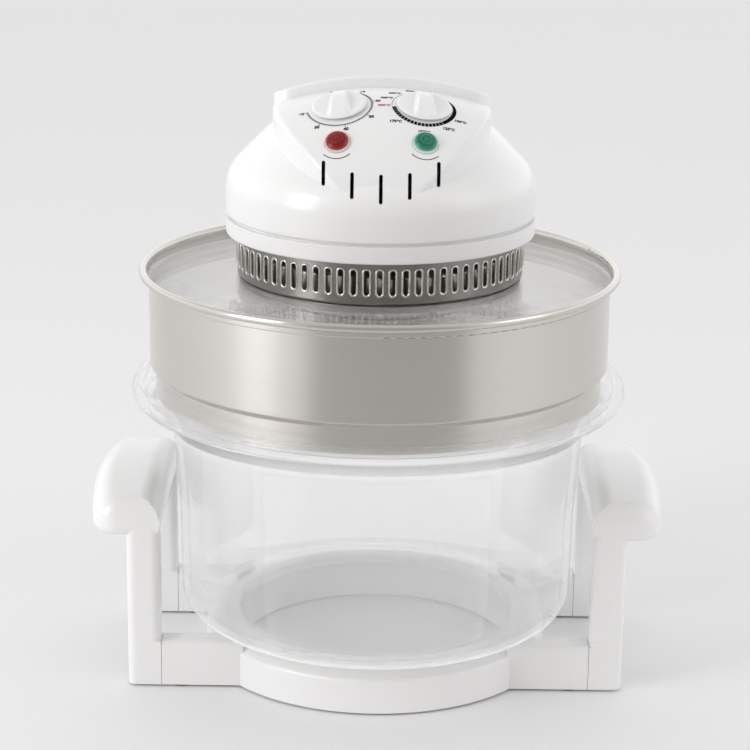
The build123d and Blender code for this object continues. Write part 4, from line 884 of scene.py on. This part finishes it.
# rings joined by spokes that run level, then rise by a cubic to hook under the pan's flange
def makeGuard():
    g = guardForm
    low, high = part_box("fan_guard")[0][2] + g["wire"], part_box("fan_guard")[1][2] - g["wire"]
    meshes = [wireRing("ring", radius, low, g["wire"], g["steps"], g["sides"]) for radius in g["rings"]]
    meshes.append(wireRing("ring", g["outer"], high, g["wire"], g["steps"], g["sides"]))
    flat = np.concatenate([straight((g["rings"][0], low), (g["level"], low), 12),
                           cubic((g["level"], low), (g["outer"], high), g["levelSlope"], g["hookSlope"], 14)[1:]])
    for i in range(g["spokes"]):
        angle = 2 * pi * i / g["spokes"]
        line = np.stack([flat[:, 0] * np.cos(angle), flat[:, 0] * np.sin(angle), flat[:, 1]], -1)
        side = np.tile([-np.sin(angle), np.cos(angle), 0.0], (len(line), 1))
        meshes.append(roundTube("spoke", line, side, g["wire"] * g["spokeShare"], g["sides"]))
    mesh = joinMeshes("guardWires", meshes)
    mesh.shade_smooth()
    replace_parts(piece("guardWires", mesh, "head", "chromed_wire"), "fan_guard")
    print("guard made")


# ---- floor ----

# pale floor, tinted by a wide noise cloud; the grey card is where the smooth steps of the distance in front and of
# x over that distance overlap
def makeFloor():
    angle = np.linspace(0, 2 * pi, studio["floorSteps"], endpoint=False)
    ring = np.array(studio["floorRings"])
    points = np.stack([ring[:, None] * np.cos(angle), ring[:, None] * np.sin(angle),
                       0 * ring[:, None] * angle], -1)
    mesh = gridMesh("floor", points, closeColumns=True, weld=True)
    floor = bpy.data.objects.new("floor", mesh)
    bpy.context.scene.collection.objects.link(floor)
    finish = Finish("paleFloor", {"Roughness": 0.55})
    place, x, y, z, reach = cylinderParts(finish)
    cloud = finish.noise(place, 3.0, 2.0)
    colour = studio["floorColour"]
    pale = finish.blend(cloud, shade(*[c * 0.99 for c in colour]), shade(*colour))
    aside = x / (0.0 - y)
    card = (finish.step(0.0 - y, *studio["cardNear"]) * finish.step(aside, *studio["cardLeft"])
            * (1.0 - finish.step(aside, *studio["cardRight"])))
    finish.feed("Base Color", finish.blend(card, pale, shade(*studio["cardColour"])))
    mesh.materials.append(finish.material)


# studio surround: pale, mixed towards a warm dim shade by a smooth step of the cosine from the side behind the
# camera, then scaled down by a smooth step of the height
def makeSky():
    world = bpy.data.worlds.new("studioSky")
    bpy.context.scene.world = world
    world.use_nodes = True
    nodes, links = world.node_tree.nodes, world.node_tree.links
    background = nodes["Background"]
    background.inputs["Strength"].default_value = studio["skyStrength"]
    place = nodes.new("ShaderNodeTexCoord")
    toward = nodes.new("ShaderNodeVectorMath")
    toward.operation = "DOT_PRODUCT"
    toward.inputs[1].default_value = studio["skyDarkSide"]
    links.new(place.outputs["Generated"], toward.inputs[0])
    ramp = nodes.new("ShaderNodeMapRange")
    ramp.interpolation_type = "SMOOTHSTEP"
    ramp.inputs["From Min"].default_value, ramp.inputs["From Max"].default_value = studio["skyDarkFrom"]
    links.new(toward.outputs["Value"], ramp.inputs["Value"])
    mix = nodes.new("ShaderNodeMix")
    mix.data_type = "RGBA"
    bright, dark = studio["skyBright"], studio["skyDark"]
    green, blue = studio["skyWarm"]
    mix.inputs["A"].default_value = (bright, bright, bright, 1)
    mix.inputs["B"].default_value = (dark, dark * green, dark * blue, 1)
    links.new(ramp.outputs["Result"], mix.inputs["Factor"])
    parts = nodes.new("ShaderNodeSeparateXYZ")
    links.new(place.outputs["Generated"], parts.inputs[0])
    rise = nodes.new("ShaderNodeMapRange")
    rise.interpolation_type = "SMOOTHSTEP"
    rise.inputs["From Min"].default_value, rise.inputs["From Max"].default_value = studio["skyTopFrom"]
    rise.inputs["To Min"].default_value, rise.inputs["To Max"].default_value = 1.0, studio["skyTop"]
    links.new(parts.outputs["Z"], rise.inputs["Value"])
    scaled = nodes.new("ShaderNodeVectorMath")
    scaled.operation = "SCALE"
    links.new(mix.outputs["Result"], scaled.inputs[0])
    links.new(rise.outputs["Result"], scaled.inputs["Scale"])
    links.new(scaled.outputs["Vector"], background.inputs["Color"])


makeCamera()
makeLights()
makeSky()
makeFloor()
bpy.context.scene.view_settings.view_transform = "Standard"
materials = makeMaterials()
ownMaterials = {     # nodes whose finish differs from the rest of their slot
    # vent skirt: a darker copy of the turned steel, painted shade for what it reflects from under the head
    "vent_skirt": brushedSteel("skirtSteelPaintedShade", skirtPaintedShadeValues),
    "lamp_bodies": lampCollar("lampCollar", (0.86, 0.68, 0.66), (0.66, 0.86, 0.78)),
}
for part in frame["record"]["subparts"]:
    mesh = frame["nodes"][part["node"]].data
    mesh.materials.clear()
    mesh.materials.append(ownMaterials.get(part["node"]) or materials[part["material_slot"]])
makeGlass()
makePrints()
makeKnob("timerKnob", knobSpots["timer"], "timer", "timer_knob")
makeKnob("temperatureKnob", knobSpots["temperature"], "temperature", "temperature_knob")
makeLens("redLens", lampSpots["red"], "red_lens", "red_lens")
makeLens("greenLens", lampSpots["green"], "green_lens", "green_lens")
makeSlotRims()
makeLamp()
makeGuard()
print("pieces made")
